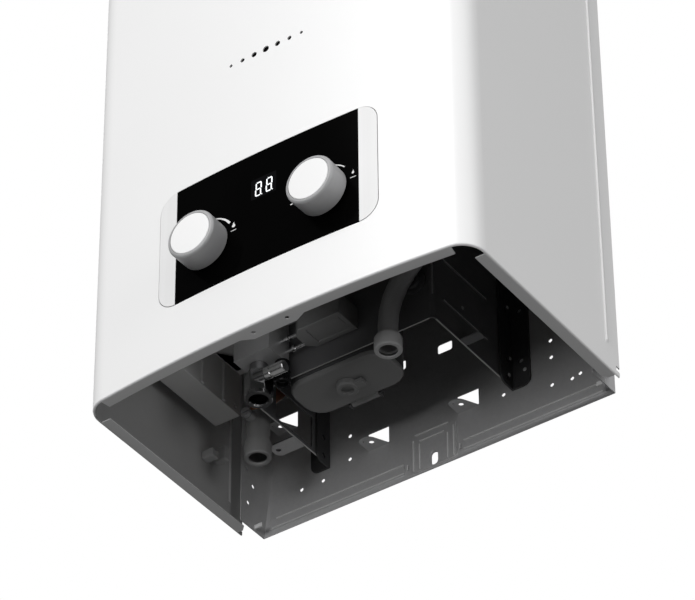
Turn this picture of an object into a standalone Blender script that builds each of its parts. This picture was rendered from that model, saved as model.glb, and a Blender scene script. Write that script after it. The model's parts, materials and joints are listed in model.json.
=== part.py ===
"""Wall-hung gas water heater: casing, control panel, burner, heat exchanger, valves and fittings."""

from math import asin, cos, pi, radians, sin

import bmesh
import bpy
from mathutils import Vector
from mathutils.geometry import tessellate_polygon

# All lengths are in metres. Heights are measured from the casing's bottom edge, depths from the
# wall face of the back plate, which is y = 0, and the front looks along -Y.

# Shared values
CLEAR = 0.0003
OVERRUN = 0.004
WELD_DISTANCE = 1e-7
NEAR_ZERO = 1e-9
HANG_DROP = 0.040

# Front cover
CASING_WIDTH = 0.330
CASING_HEIGHT = 0.550
CASING_DEPTH = 0.192
WALL_GAP = 0.0121
FRONT_BOW = 0.0077
CORNER_RADIUS = 0.0199
COVER_SHEET = 0.001
RETURN_WIDTH = 0.005
LIP_WIDTH = 0.0095
LIP_HOLE_RADIUS = 0.0018
LIP_HOLE_SPACING = 0.0285
LIP_HOLE_INSET = 0.0077
LIP_TAB_WIDTH = 0.036
LIP_TAB_FLARE = 0.009
LIP_TAB_REACH = 0.0045
FRONT_LIP_STOP = 0.017
SIDE_LIP_STOP = 0.018
NOTCH_DEPTH = 0.006
NOTCH_HEIGHT = 0.0078
BEAD_OFFSET = 0.0165
BEAD_WIDTH = 0.004
BEAD_RISE = 0.0012
BEAD_BOTTOM = 0.0218
DOT_HEIGHT = 0.251
DOT_PITCH = 0.0105
DOT_COUNT = 7
DOT_LARGE = 0.0055
DOT_SMALL = 0.0027

# Back plate
PLATE_SIDE_GAP = 0.012
PLATE_SHEET = 0.0008
PAN_DEPTH = 0.030
RIB_BOTTOM = 0.004
RIB_HEIGHT = 0.010
RIB_RISE = 0.0012
RIB_INNER = 0.026
RIB_END_GAP = 0.007
PAD_WIDTH = 0.040
PAD_HEIGHT = 0.0345
SLOT_HEIGHT = 0.0083
SLOT_WIDTH = 0.006
SLOT_LENGTH = 0.0115
WINDOW_WIDTH = 0.0184
WINDOW_HEIGHT = 0.0143
WINDOW_BOTTOM = 0.0405
WINDOW_RIGHT = 0.030
WINDOW_LEFT = -0.0488
THIRD_WINDOW_INSET = 0.022
THIRD_WINDOW_BOTTOM = 0.0905
FLAP_REACH = 0.0155
FLAP_TIP = 0.010
FLAP_SHEET = 0.001
FLAP_HOLE = 0.0022
SQUARE_WIDTH = 0.0127
SQUARE_HEIGHT = 0.0082
SQUARE_BOTTOM = 0.101
SQUARE_RIGHT = 0.0112
SQUARE_LEFT = -0.0300
SQUARE_CORNER = 0.0015
HOLE_RADIUS = 0.0018
HOLE_BAND = 0.100
HOLE_SHARES = (
    (-0.486, 0.606), (-0.488, 0.396), (-0.646, 0.303), (-0.773, 0.302), (0.395, 0.393), (0.666, 0.701),
    (0.666, 0.549), (0.664, 0.300), (0.775, 0.282), (0.820, 0.299), (0.895, 0.280),
)
FLANGE_HOLE_SHARES = ((0.70, 0.21), (0.50, 0.39), (0.80, 0.50))
KEYHOLE_SPACING = 0.160
KEYHOLE_RADIUS = 0.0055
KEYHOLE_SLOT = 0.003
KEYHOLE_RISE = 0.009

# Control panel
PANEL_WIDTH = 0.189
PANEL_BOTTOM = 0.0512
PANEL_HEIGHT = 0.1033
PANEL_CORNER = 0.0150
PANEL_PROUD = 0.0004
PANEL_FLANGE = 0.004
PANEL_BASE = 0.002
GLASS_WIDTH = 0.1586
GLASS_THICKNESS = 0.0014
DISPLAY_WIDTH = 0.022
DISPLAY_HEIGHT = 0.0184
DISPLAY_X = -0.0007
DISPLAY_Z = 0.1208
MODULE_DEPTH = 0.005
BOARD_WIDTH = 0.076
BOARD_HEIGHT = 0.044
BOARD_THICKNESS = 0.0016
BOARD_LIFT = 0.0155
PANEL_STRIPS = 8
MICA_STRIPS = 4

# Knobs, spindles and bushes
KNOB_SPACING = 0.1024
KNOB_Z = 0.0888
KNOB_REACH = 0.0203
KNOB_RADIUS = 0.020
KNOB_BASE_RADIUS = 0.0197
KNOB_GAP = 0.0018
KNOB_ROUND = 0.0036
KNOB_HOLLOW_RADIUS = 0.0172
KNOB_HOLLOW_DEPTH = 0.010
KNOB_HUB_RADIUS = 0.006
KNOB_BORE_DEPTH = 0.013
CAP_RADIUS = 0.0164
CAP_THICKNESS = 0.0012
SPINDLE_RADIUS = 0.003
BUSH_RADIUS = 0.006
BUSH_LENGTH = 0.008
BUSH_FLANGE = 0.0085
BUSH_HEAD = 0.0012

# Flame window
MICA_WIDTH = 0.086
MICA_HEIGHT = 0.018
MICA_THICKNESS = 0.0008
CLIP_WIDTH = 0.096
CLIP_HEIGHT = 0.030
CLIP_THICKNESS = 0.001
CLIP_WINDOW_HEIGHT = 0.012

# Chassis and its brackets
CHASSIS_LEFT_SHARE = 0.2879
CHASSIS_RIGHT_SHARE = 0.2061
CHASSIS_FRONT = -0.1021
CHASSIS_BOTTOM = 0.0429
CHASSIS_TOP = 0.205
CHASSIS_SHEET = 0.001
CHASSIS_BEND = 0.004
CHASSIS_REAR_GAP = 0.0032
CHASSIS_RIB_SHARES = (0.135, 0.365)
CHASSIS_RIB_WIDTH = 0.0025
CHASSIS_RIB_RISE = 0.001
CHASSIS_RIB_LENGTH = 0.058
NOZZLE_SLOT_HEIGHT = 0.018
SIDE_OPENING_SILL = 0.0035
SIDE_OPENING_HEIGHT = 0.028
SIDE_OPENING_LENGTH = 0.046
SIDE_OPENING_FROM_WALL = 0.021
FOOT_REACH = 0.023
FOOT_WIDTH = 0.014
FOOT_FROM_WALL = 0.0300
FOOT_HOLE = 0.002
BRACKET_BOTTOM = 0.0385
BRACKET_TOP = 0.200
BRACKET_SHEET = 0.0016
BRACKET_LEG = 0.0165
BRACKET_FLANGE = 0.0165
BRACKET_ROUND = 0.006
BRACKET_HOLE = 0.0022
BRACKET_HOLE_SHARES = (0.045, 0.145, 0.43)

# Burner and manifold
BAR_COUNT = 12
BAR_THICKNESS = 0.006
BAR_HEIGHT = 0.038
BAR_BOTTOM = 0.160
BAR_MOUTH = 0.008
BURNER_MARGIN = 0.006
BURNER_RAIL = 0.006
BURNER_SEAT = 0.001
BURNER_RAIL_HEIGHT = 0.010
MANIFOLD_RADIUS = 0.006
MANIFOLD_GAP = 0.005
NOZZLE_RADIUS = 0.0025
NOZZLE_TIP = 0.0012
NOZZLE_LENGTH = 0.010
GAS_PIPE_RADIUS = 0.005
GAS_PIPE_BEND = 0.0084

# Heat exchanger
CHAMBER_REAR = -0.016
CHAMBER_TOP = 0.330
CHAMBER_SHEET = 0.001
CHAMBER_CORNER = 0.009
COIL_RADIUS = 0.00635
COIL_GAP = 0.001
COIL_START = 0.222
COIL_CLIMB = 0.030
COIL_TURNS = 2
FIN_COUNT = 10
FIN_THICKNESS = 0.0006
FIN_BOTTOM = 0.336
FIN_HEIGHT = 0.040
FIN_MARGIN = 0.009
FIN_TIE = 0.002
PASS_COUNT = 4
PASS_PITCH = 0.020
PASS_BEND = 0.009
HOT_DROP = 0.026

# Draft hood and flue
HOOD_SHEET = 0.001
HOOD_STRAIGHT = 0.030
HOOD_NECK = 0.022
FLUE_RADIUS = 0.055
FLUE_SHEET = 0.001
FLUE_RISE = 0.040
FLUE_Y = -0.085
FLUE_COLLAR_WIDTH = 0.010
FLUE_COLLAR_THICKNESS = 0.002
FLUE_HOLE_GAP = 0.002
FLUE_COUNT = 24

# Electrodes and thermostat
ELECTRODE_RADIUS = 0.003
ELECTRODE_OUTSIDE = 0.014
ELECTRODE_INSIDE = 0.012
ELECTRODE_TIP = 0.001
ELECTRODE_TIP_LENGTH = 0.018
ELECTRODE_Z = 0.2115
ELECTRODE_X = -0.040
SENSOR_X = 0.020
THERMOSTAT_RADIUS = 0.008
THERMOSTAT_THICKNESS = 0.007
THERMOSTAT_TAB = 0.006
TAB_WIDTH = 0.004

# Valve group
VALVE_Y = -0.150
GAS_BODY_LEFT = -0.084
GAS_BODY_RIGHT = -0.024
GAS_BODY_DEPTH = 0.042
GAS_BODY_BOTTOM = 0.070
GAS_BODY_TOP = 0.108
GAS_BLOCK_RIGHT = -0.044
GAS_BLOCK_REAR = -0.108
GAS_BLOCK_BOTTOM = 0.0503
GAS_BLOCK_TOP = 0.088
GAS_GLAND_RADIUS = 0.012
GAS_GLAND_LENGTH = 0.008
GAS_INLET_X = -0.072
GAS_INLET_Y = -0.1186
GAS_INLET_BOTTOM = 0.0195
GAS_RING_RADIUS = 0.0102
GAS_RING_HEIGHT = 0.004
GAS_HEX_RADIUS = 0.0108
GAS_HEX_HEIGHT = 0.018
GAS_NECK_RADIUS = 0.007
GAS_BORE_RADIUS = 0.0066
GAS_BORE_DEPTH = 0.024
PORT_Y = -0.1251
PORT_Z = 0.0343
PORT_RADIUS = 0.0058
PORT_BOSS_RADIUS = 0.0046
PORT_LEFT = -0.0612
PORT_LENGTH = 0.0174
PLUG_X = -0.0556
PLUG_Y = -0.1124
PLUG_BOTTOM = 0.0310
PLUG_RADIUS = 0.0062
PLUG_SOCKET = 0.0042
SOLENOID_RADIUS = 0.0085
SOLENOID_LENGTH = 0.020
SOLENOID_DROP = 0.013
SOLENOID_BORE = 0.003
SOLENOID_CORE_LENGTH = 0.018
SOLENOID_STROKE = 0.003
WATER_CLEAR_X = 0.028
WATER_RADIUS = 0.023
WATER_FLANGE = 0.006
WATER_COVER_LENGTH = 0.010
WATER_BARREL_RADIUS = 0.016
WATER_BARREL_LENGTH = 0.030
WATER_BOSS_RADIUS = 0.009
ROD_RADIUS = 0.002
ROD_STROKE = 0.004
ROD_BORE_GAP = 0.0004
ROD_ENTRY = 0.008
COLLAR_RADIUS = 0.0095
COLLAR_THICKNESS = 0.0015
COLLAR_X = 0.0035
SWITCH_LENGTH = 0.012
SWITCH_WIDTH = 0.007
SWITCH_HEIGHT = 0.012
SWITCH_LIFT = 0.0045
SWITCH_BUTTON_RADIUS = 0.0015
SWITCH_BUTTON_REACH = 0.0045
SWITCH_BORE_DEPTH = 0.009
SWITCH_ARM = 0.0015

# Water fittings and pipes
COLD_CHASSIS_GAP = 0.015
COLD_Y = -0.067
COLD_BOTTOM = 0.0149
COLD_RADIUS = 0.0112
COLD_BORE = 0.0066
COLD_STEP_HEIGHT = 0.0229
COLD_NECK_RADIUS = 0.0095
COLD_NECK_HEIGHT = 0.016
DRAIN_RADIUS = 0.0030
DRAIN_HEAD_RADIUS = 0.0042
DRAIN_HEAD = 0.003
DRAIN_SEAT = 0.004
DRAIN_DROP = 0.006
WATER_PIPE_RADIUS = 0.0063
COLD_OFFSET_START = 0.010
COLD_OFFSET_RISE = 0.022
COLD_RUN_GAP = 0.008
COLD_RUN_Y = -0.049
PIPE_BEND = 0.012
PIPE_STRAIGHT = 0.002
NUT_X = 0.0393
NUT_Y = -0.1171
NUT_BOTTOM = 0.0147
NUT_RADIUS = 0.0102
NUT_HEIGHT = 0.0134
NUT_BORE = 0.0066
NUT_LIP = 0.0034
NUT_ROUND = 0.0008
HOT_RADIUS = 0.0073
HOT_WALL = 0.0012
HOT_SIDE_GAP = 0.030
HOT_LEAN_Z = 0.062
HOT_CROSS_Z = 0.122
HOT_RISE_Z = 0.200
HOT_BEND = 0.060
HOT_SIDE_BEND = 0.024

# Battery box
BATTERY_X = -0.022
BATTERY_Y = -0.0793
BATTERY_BOX_WIDTH = 0.084
BATTERY_BOX_DEPTH = 0.0420
BATTERY_BOX_CORNER = 0.015
BATTERY_BOX_BOTTOM = 0.0403
BATTERY_BOX_WALL = 0.0016
BATTERY_RADIUS = 0.0165
BATTERY_LENGTH = 0.060
BATTERY_NUB = 0.004
BATTERY_NUB_HEIGHT = 0.0015
BATTERY_SEAT = 0.004
LID_THICKNESS = 0.004
LID_ROUND = 0.0025
LATCH_RADIUS = 0.0085
LATCH_HEIGHT = 0.005
LATCH_HOLE = 0.0047
LATCH_ROUND = 0.001
LATCH_KEEPER = 0.0065
LATCH_WING_REACH = 0.0145
LATCH_WING_WIDTH = 0.007
LATCH_STEM_RADIUS = 0.0040
HINGE_HALF = 0.012
HINGE_EAR = 0.002
HINGE_OFFSET = 0.003
HINGE_DROP = 0.0023
HINGE_RADIUS = 0.0022
HINGE_PIN = 0.0011

# Igniter box, control box and leads
IGNITER_LEFT = -0.038
IGNITER_RIGHT = 0.0037
IGNITER_DEPTH = 0.0245
IGNITER_BOTTOM = 0.060
IGNITER_HEIGHT = 0.0195
IGNITER_CHAMFER = 0.006
IGNITER_RECESS = 0.0012
IGNITER_RIM = 0.004
CONTROL_SIDE_GAP = 0.013
CONTROL_STEP_SHARE = 0.509
CONTROL_CHASSIS_GAP = 0.013
CONTROL_FRONT = -0.1327
CONTROL_UPPER_FRONT = -0.102
CONTROL_REAR = -0.063
CONTROL_BOTTOM = 0.065
CONTROL_STEP_Z = 0.103
CONTROL_TOP = 0.190
CONTROL_RIB_SHARES = (0.30, 0.68)
CONTROL_RIB_WIDTH = 0.003
CONTROL_RIB_RISE = 0.0014
CONTROL_RIM = 0.006
CONTROL_RECESS = 0.002
ARM_SHEET = 0.001
ARM_FOOT = 0.012
ARM_BOTTOM = 0.120
ARM_TOP = 0.180
LEAD_RADIUS = 0.0017
LEAD_STAND = 0.008
LEAD_BEND = 0.006

# Sizes worked out from the driving ones
HALF_WIDTH = CASING_WIDTH / 2
REAR_Y = -WALL_GAP
CHORD_Y = REAR_Y - CASING_DEPTH
BOW_HALF = HALF_WIDTH - CORNER_RADIUS
BOW_STEPS = 10
CORNER_STEPS = 5
HANG_HEIGHT = CASING_HEIGHT - HANG_DROP
PLATE_HALF = HALF_WIDTH - PLATE_SIDE_GAP
RIB_OUTER = PLATE_HALF - RIB_END_GAP
THIRD_WINDOW_X = THIRD_WINDOW_INSET - PLATE_HALF
PAN_TOP = CASING_HEIGHT - COVER_SHEET - CLEAR
PANEL_Z = PANEL_BOTTOM + PANEL_HEIGHT / 2
CHASSIS_LEFT = -CASING_WIDTH * CHASSIS_LEFT_SHARE
CHASSIS_RIGHT = CASING_WIDTH * CHASSIS_RIGHT_SHARE
CHASSIS_REAR = -PLATE_SHEET - CHASSIS_REAR_GAP
FLUE_X = (CHASSIS_LEFT + CHASSIS_RIGHT) / 2
COIL_LEFT = CHASSIS_LEFT - COIL_GAP - COIL_RADIUS
COIL_RIGHT = CHASSIS_RIGHT + COIL_GAP + COIL_RADIUS
COIL_FRONT = CHASSIS_FRONT - COIL_GAP - COIL_RADIUS
COIL_BACK = CHAMBER_REAR + COIL_GAP + COIL_RADIUS
COIL_BEND = CHAMBER_CORNER + COIL_GAP + COIL_RADIUS
PASS_Z = FIN_BOTTOM + FIN_HEIGHT / 2
PASS_FRONT = (CHASSIS_FRONT + CHAMBER_REAR) / 2 - PASS_PITCH * (PASS_COUNT - 1) / 2
HOT_SIDE_X = CHASSIS_RIGHT + HOT_SIDE_GAP
COLD_X = CHASSIS_LEFT - COLD_CHASSIS_GAP
COLD_RUN_X = CHASSIS_LEFT - COLD_RUN_GAP
NOZZLE_Z = BAR_BOTTOM + BAR_MOUTH
SOLENOID_Z = KNOB_Z - SOLENOID_DROP
BOX_TOP = BATTERY_BOX_BOTTOM + BATTERY_LENGTH + BATTERY_SEAT + BATTERY_NUB_HEIGHT
CONTROL_LEFT = CONTROL_SIDE_GAP - HALF_WIDTH
CONTROL_RIGHT = CHASSIS_LEFT - CONTROL_CHASSIS_GAP
CONTROL_STEP_X = CONTROL_LEFT + CONTROL_STEP_SHARE * (CONTROL_RIGHT - CONTROL_LEFT)
ARM_X = (CONTROL_LEFT + CONTROL_RIGHT) / 2


# Drawing helpers

def on_axis(axis, u, v, w):
    """Place a drawn point (u, v) at distance w along the named axis."""
    return {"X": (w, u, v), "Y": (u, w, v), "Z": (u, v, w)}[axis]


def front_y(x, inset=0.0):
    """Depth of the bowed front at x, moved back by inset."""
    share = min(abs(x) / BOW_HALF, 1.0)
    return CHORD_Y - FRONT_BOW * (1 - share ** 2) + inset


def circle(u, v, radius, count, start=0.0):
    """Points of a circle."""
    return [
        (u + radius * cos(start + 2 * pi * i / count), v + radius * sin(start + 2 * pi * i / count))
        for i in range(count)
    ]


def arc(u, v, radius, start, end, steps):
    """Points of an arc from one angle to another, ends included."""
    turns = [start + (end - start) * i / steps for i in range(steps + 1)]
    return [(u + radius * cos(turn), v + radius * sin(turn)) for turn in turns]


def rectangle(left, right, low, high):
    """Corner points of a rectangle."""
    return [(left, low), (right, low), (right, high), (left, high)]


def rounded(left, right, low, high, radius, steps=4):
    """Rectangle with rounded corners."""
    return (
        arc(right - radius, low + radius, radius, -pi / 2, 0, steps)
        + arc(right - radius, high - radius, radius, 0, pi / 2, steps)
        + arc(left + radius, high - radius, radius, pi / 2, pi, steps)
        + arc(left + radius, low + radius, radius, pi, 3 * pi / 2, steps)
    )


def prism(loops, axis, start, end):
    """Closed prism of an outer loop with any hole loops, drawn across the named axis."""
    mesh = bmesh.new()
    flat = [[Vector((u, v, 0.0)) for u, v in loop] for loop in loops]
    points = [point for loop in flat for point in loop]
    near = [mesh.verts.new(on_axis(axis, point.x, point.y, start)) for point in points]
    far = [mesh.verts.new(on_axis(axis, point.x, point.y, end)) for point in points]
    if len(loops) == 1:
        mesh.faces.new(near)
        mesh.faces.new(far)
    else:
        for a, b, c in tessellate_polygon(flat):
            mesh.faces.new((near[a], near[b], near[c]))
            mesh.faces.new((far[c], far[b], far[a]))
    first = 0
    for loop in loops:
        count = len(loop)
        for i in range(count):
            a, b = first + i, first + (i + 1) % count
            mesh.faces.new((near[a], near[b], far[b], far[a]))
        first += count
    bmesh.ops.recalc_face_normals(mesh, faces=mesh.faces)
    return mesh


def block(low, high):
    """Plain block between two corners."""
    return prism([rectangle(low[0], high[0], low[1], high[1])], "Z", low[2], high[2])


def turned(profile, centre, axis, count, sign=1):
    """Turned solid of (radius, height) pairs, a ring when the profile stays off the axis."""
    mesh = bmesh.new()
    index = "XYZ".index(axis)
    others = [i for i in range(3) if i != index]
    rings = []
    for radius, height in profile:
        ring = []
        for i in range(count if radius > 0 else 1):
            place = list(centre)
            place[others[0]] += radius * cos(2 * pi * i / count)
            place[others[1]] += radius * sin(2 * pi * i / count)
            place[index] += sign * height
            ring.append(mesh.verts.new(place))
        rings.append(ring if radius > 0 else ring * count)
    if profile[0][0] > 0:
        rings.append(rings[0])
    for low, high in zip(rings, rings[1:]):
        for i in range(count):
            j = (i + 1) % count
            corners = [low[i]]
            for vert in (low[j], high[j], high[i]):
                if vert not in corners:
                    corners.append(vert)
            if len(corners) > 2:
                mesh.faces.new(corners)
    bmesh.ops.recalc_face_normals(mesh, faces=mesh.faces)
    return mesh


def rod(radius, centre, axis, length, count, sign=1):
    """Plain round bar that starts at centre."""
    return turned([(0, 0), (radius, 0), (radius, length), (0, length)], centre, axis, count, sign)


def rounded_route(corners, bend, steps=3):
    """Route through corner points with each corner turned on an arc of the bend radius."""
    points = [Vector(corners[0])]
    for before, corner, after in zip(corners, corners[1:], corners[2:]):
        corner = Vector(corner)
        back = (Vector(before) - corner).normalized()
        ahead = (Vector(after) - corner).normalized()
        half = back.angle(ahead) / 2
        reach = bend * cos(half) / sin(half)
        centre = corner + (back + ahead).normalized() * bend / sin(half)
        first = (corner + back * reach - centre).normalized()
        last = (corner + ahead * reach - centre).normalized()
        for i in range(steps + 1):
            points.append(centre + first.slerp(last, i / steps) * bend)
    points.append(Vector(corners[-1]))
    return points


def sweep(route, radius, count, bore=0.0):
    """Round bar along a route, or a tube where bore is more than zero."""
    mesh = bmesh.new()
    directions = [(b - a).normalized() for a, b in zip(route, route[1:])]
    tangents = [directions[0]]
    tangents += [(a + b).normalized() for a, b in zip(directions, directions[1:])]
    tangents.append(directions[-1])
    side = tangents[0].orthogonal().normalized()
    outer, inner = [], []
    for place, tangent in zip(route, tangents):
        side = (side - tangent * side.dot(tangent)).normalized()
        other = tangent.cross(side)
        turns = [side * cos(2 * pi * i / count) + other * sin(2 * pi * i / count) for i in range(count)]
        outer.append([mesh.verts.new(place + turn * radius) for turn in turns])
        if bore:
            inner.append([mesh.verts.new(place + turn * bore) for turn in turns])
    for rings in (outer, inner):
        for low, high in zip(rings, rings[1:]):
            for i in range(count):
                j = (i + 1) % count
                mesh.faces.new((low[i], low[j], high[j], high[i]))
    for end in (0, -1):
        if bore:
            for i in range(count):
                j = (i + 1) % count
                mesh.faces.new((outer[end][i], outer[end][j], inner[end][j], inner[end][i]))
        else:
            mesh.faces.new(outer[end])
    bmesh.ops.recalc_face_normals(mesh, faces=mesh.faces)
    return mesh


def grouped(*meshes):
    """Several separate solids in one mesh."""
    whole = bmesh.new()
    for mesh in meshes:
        data = bpy.data.meshes.new("group")
        mesh.to_mesh(data)
        mesh.free()
        whole.from_mesh(data)
        bpy.data.meshes.remove(data)
    return whole


def combined(body, tool, operation):
    """Body with the tool united to it or cut out of it."""
    objects = []
    for mesh in (body, tool):
        data = bpy.data.meshes.new("work")
        mesh.to_mesh(data)
        mesh.free()
        work = bpy.data.objects.new("work", data)
        bpy.context.scene.collection.objects.link(work)
        objects.append(work)
    modifier = objects[0].modifiers.new(operation, "BOOLEAN")
    modifier.operation = operation
    modifier.solver = "EXACT"
    modifier.object = objects[1]
    result = bmesh.new()
    result.from_object(objects[0], bpy.context.evaluated_depsgraph_get())
    for work in objects:
        data = work.data
        bpy.data.objects.remove(work)
        bpy.data.meshes.remove(data)
    return result


def united(body, *tools):
    """Body with each tool fused to it in turn."""
    for tool in tools:
        body = combined(body, tool, "UNION")
    return body


def cut(body, *tools):
    """Body with all the tools, which don't touch each other, cut out of it."""
    return combined(body, grouped(*tools), "DIFFERENCE")


def pierced(mesh, loops, axis, start, end):
    """Plate with each loop cut through it from start to end."""
    if not loops:
        return mesh
    return cut(mesh, *[prism([loop], axis, start - OVERRUN, end + OVERRUN) for loop in loops])


def striped(mesh, half, count):
    """Plate divided into upright strips, so that it can follow the bow."""
    for i in range(1, count):
        x = -half + 2 * half * i / count
        geometry = list(mesh.verts) + list(mesh.edges) + list(mesh.faces)
        bmesh.ops.bisect_plane(
            mesh, geom=geometry, plane_co=(x, 0, 0), plane_no=(1, 0, 0), dist=WELD_DISTANCE
        )
    return mesh


def bowed(mesh):
    """Flat plate, drawn with y as its inset, laid on the bow of the front."""
    for vert in mesh.verts:
        vert.co.y += front_y(vert.co.x)
    return mesh


def bowed_plate(outline, loops, start, end, count):
    """Plate of the outline with the loops cut out, bent to the bow of the front."""
    half = max(abs(x) for x, z in outline)
    flat = striped(prism([outline], "Y", start, end), half, count)
    return bowed(pierced(flat, loops, "Y", start, end))


# Materials and placing

def material(name, colour, roughness, metallic=0.0):
    """Principled material with one colour."""
    made = bpy.data.materials.new(name)
    made.use_nodes = True
    shader = made.node_tree.nodes["Principled BSDF"]
    shader.inputs["Base Color"].default_value = (*colour, 1.0)
    shader.inputs["Roughness"].default_value = roughness
    shader.inputs["Metallic"].default_value = metallic
    return made


def add(name, mesh, finish, origin=(0.0, 0.0, 0.0), smooth=30):
    """Give a mesh its object, its own material and its place in the heater."""
    bmesh.ops.remove_doubles(mesh, verts=mesh.verts, dist=WELD_DISTANCE)
    bmesh.ops.translate(mesh, verts=mesh.verts, vec=-Vector(origin))
    data = bpy.data.meshes.new(name)
    mesh.to_mesh(data)
    mesh.free()
    data.shade_smooth()
    data.set_sharp_from_angle(angle=radians(smooth))
    data.materials.append(material(name, *FINISHES[finish]))
    piece = bpy.data.objects.new(name, data)
    bpy.context.scene.collection.objects.link(piece)
    piece.parent = bpy.data.objects["heater_frame"]
    piece.location = origin
    return piece


FINISHES = {
    "white": ((0.90, 0.90, 0.90), 0.35),
    "zinc": ((0.52, 0.53, 0.54), 0.45, 0.8),
    "dark_steel": ((0.10, 0.10, 0.11), 0.5, 0.6),
    "black": ((0.015, 0.015, 0.017), 0.4),
    "silver": ((0.82, 0.82, 0.83), 0.35),
    "glass": ((0.005, 0.004, 0.004), 0.08),
    "satin": ((0.45, 0.45, 0.46), 0.35, 0.5),
    "steel": ((0.60, 0.60, 0.60), 0.3, 1.0),
    "chrome": ((0.80, 0.80, 0.80), 0.1, 1.0),
    "brass": ((0.70, 0.55, 0.28), 0.3, 1.0),
    "copper": ((0.72, 0.38, 0.22), 0.35, 1.0),
    "plastic": ((0.45, 0.45, 0.44), 0.5),
    "dark_plastic": ((0.12, 0.12, 0.12), 0.5),
    "green": ((0.04, 0.22, 0.10), 0.5),
    "mica": ((0.60, 0.50, 0.35), 0.2),
    "ceramic": ((0.85, 0.83, 0.78), 0.4),
    "red": ((0.50, 0.05, 0.04), 0.5),
}


# Casing

def casing_outline(inset):
    """Plan of the cover's outer wall from the right rear corner round to the left one."""
    radius = CORNER_RADIUS - inset
    corner_y = CHORD_Y + CORNER_RADIUS
    right = arc(BOW_HALF, corner_y, radius, 0, -pi / 2, CORNER_STEPS)
    bow = [
        (BOW_HALF * (1 - 2 * i / BOW_STEPS), front_y(BOW_HALF * (1 - 2 * i / BOW_STEPS), inset))
        for i in range(1, BOW_STEPS)
    ]
    left = [(-x, y) for x, y in reversed(right)]
    return right + bow + left


def cover_wall():
    """Side and front walls with the narrow returns along the rear edges."""
    side = HALF_WIDTH - COVER_SHEET
    tip = HALF_WIDTH - RETURN_WIDTH
    outer = [(tip, REAR_Y), (HALF_WIDTH, REAR_Y)] + casing_outline(0.0)
    outer += [(-HALF_WIDTH, REAR_Y), (-tip, REAR_Y)]
    inner = [(-tip, REAR_Y - COVER_SHEET), (-side, REAR_Y - COVER_SHEET)]
    inner += list(reversed(casing_outline(COVER_SHEET)))
    inner += [(side, REAR_Y - COVER_SHEET), (tip, REAR_Y - COVER_SHEET)]
    return prism([outer + inner], "Z", 0.0, CASING_HEIGHT)


def cover_front_lip():
    """Lip folded in under the front, with the widened tab and its two screw holes."""
    half = HALF_WIDTH - FRONT_LIP_STOP
    middle = COVER_SHEET / 2
    stations = [half * (2 * i / BOW_STEPS - 1) for i in range(BOW_STEPS + 1)]
    outer = [(x, front_y(x, middle)) for x in stations]
    tab_half = LIP_TAB_WIDTH / 2
    foot = tab_half + LIP_TAB_FLARE
    inner = [(x, front_y(x, LIP_WIDTH)) for x in stations if abs(x) > foot]
    tab = [(-foot, 0.0), (-tab_half, LIP_TAB_REACH), (tab_half, LIP_TAB_REACH), (foot, 0.0)]
    inner += [(x, front_y(x, LIP_WIDTH + reach)) for x, reach in tab]
    inner.sort(key=lambda point: -point[0])
    hole_x = LIP_HOLE_SPACING / 2
    hole_y = front_y(hole_x, LIP_HOLE_INSET)
    holes = [circle(side * hole_x, hole_y, LIP_HOLE_RADIUS, 12) for side in (-1, 1)]
    return prism([outer + inner] + holes, "Z", 0.0, COVER_SHEET)


def cover_side_lip(side):
    """Lip folded in under one side."""
    wall = side * (HALF_WIDTH - COVER_SHEET / 2)
    edge = side * (HALF_WIDTH - LIP_WIDTH)
    loop = [
        (wall, CHORD_Y + SIDE_LIP_STOP), (edge, CHORD_Y + SIDE_LIP_STOP + LIP_WIDTH / 3),
        (edge, REAR_Y - NOTCH_DEPTH / 2), (wall, REAR_Y - NOTCH_DEPTH - OVERRUN),
    ]
    return prism([loop], "Z", 0.0, COVER_SHEET)


def cover_top():
    """Top with its round opening for the flue."""
    inset = COVER_SHEET / 2
    rear = REAR_Y - inset
    outer = [(HALF_WIDTH - inset, rear)] + casing_outline(inset) + [(-HALF_WIDTH + inset, rear)]
    hole = circle(FLUE_X, FLUE_Y, FLUE_RADIUS + FLUE_HOLE_GAP, FLUE_COUNT)
    return prism([outer, hole], "Z", CASING_HEIGHT - COVER_SHEET, CASING_HEIGHT)


def side_bead(side):
    """Pressed bead that runs up one side close to the rear edge."""
    centre = REAR_Y - BEAD_OFFSET
    wall = side * (HALF_WIDTH - COVER_SHEET / 2)
    crest = side * (HALF_WIDTH + BEAD_RISE)
    shoulder = BEAD_WIDTH / 2 - BEAD_RISE
    loop = [
        (wall, centre - BEAD_WIDTH / 2), (side * HALF_WIDTH, centre - BEAD_WIDTH / 2),
        (crest, centre - shoulder), (crest, centre + shoulder),
        (side * HALF_WIDTH, centre + BEAD_WIDTH / 2), (wall, centre + BEAD_WIDTH / 2),
    ]
    return prism([loop], "Z", BEAD_BOTTOM, CASING_HEIGHT - BEAD_BOTTOM)


def dot_radius(i):
    """Radius of one flame-window hole, largest in the middle of the row."""
    middle = (DOT_COUNT - 1) / 2
    share = abs(i - middle) / middle
    return (DOT_LARGE + (DOT_SMALL - DOT_LARGE) * share) / 2


def front_cover():
    """Folded sheet cover with its openings."""
    body = united(
        cover_wall(), cover_front_lip(), cover_side_lip(1), cover_side_lip(-1), cover_top(), side_bead(1),
        side_bead(-1),
    )
    near = front_y(0.0) - OVERRUN
    far = CHORD_Y + OVERRUN
    middle = (DOT_COUNT - 1) / 2
    tools = [
        prism([circle((i - middle) * DOT_PITCH, DOT_HEIGHT, dot_radius(i), 12)], "Y", near, far)
        for i in range(DOT_COUNT)
    ]
    tools.append(prism([panel_loop(CLEAR)], "Y", near, far))
    for side in (-1, 1):
        tools.append(prism([notch_loop(side)], "Z", -OVERRUN, NOTCH_HEIGHT))
    add("front_cover", cut(body, *tools), "white")


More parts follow.
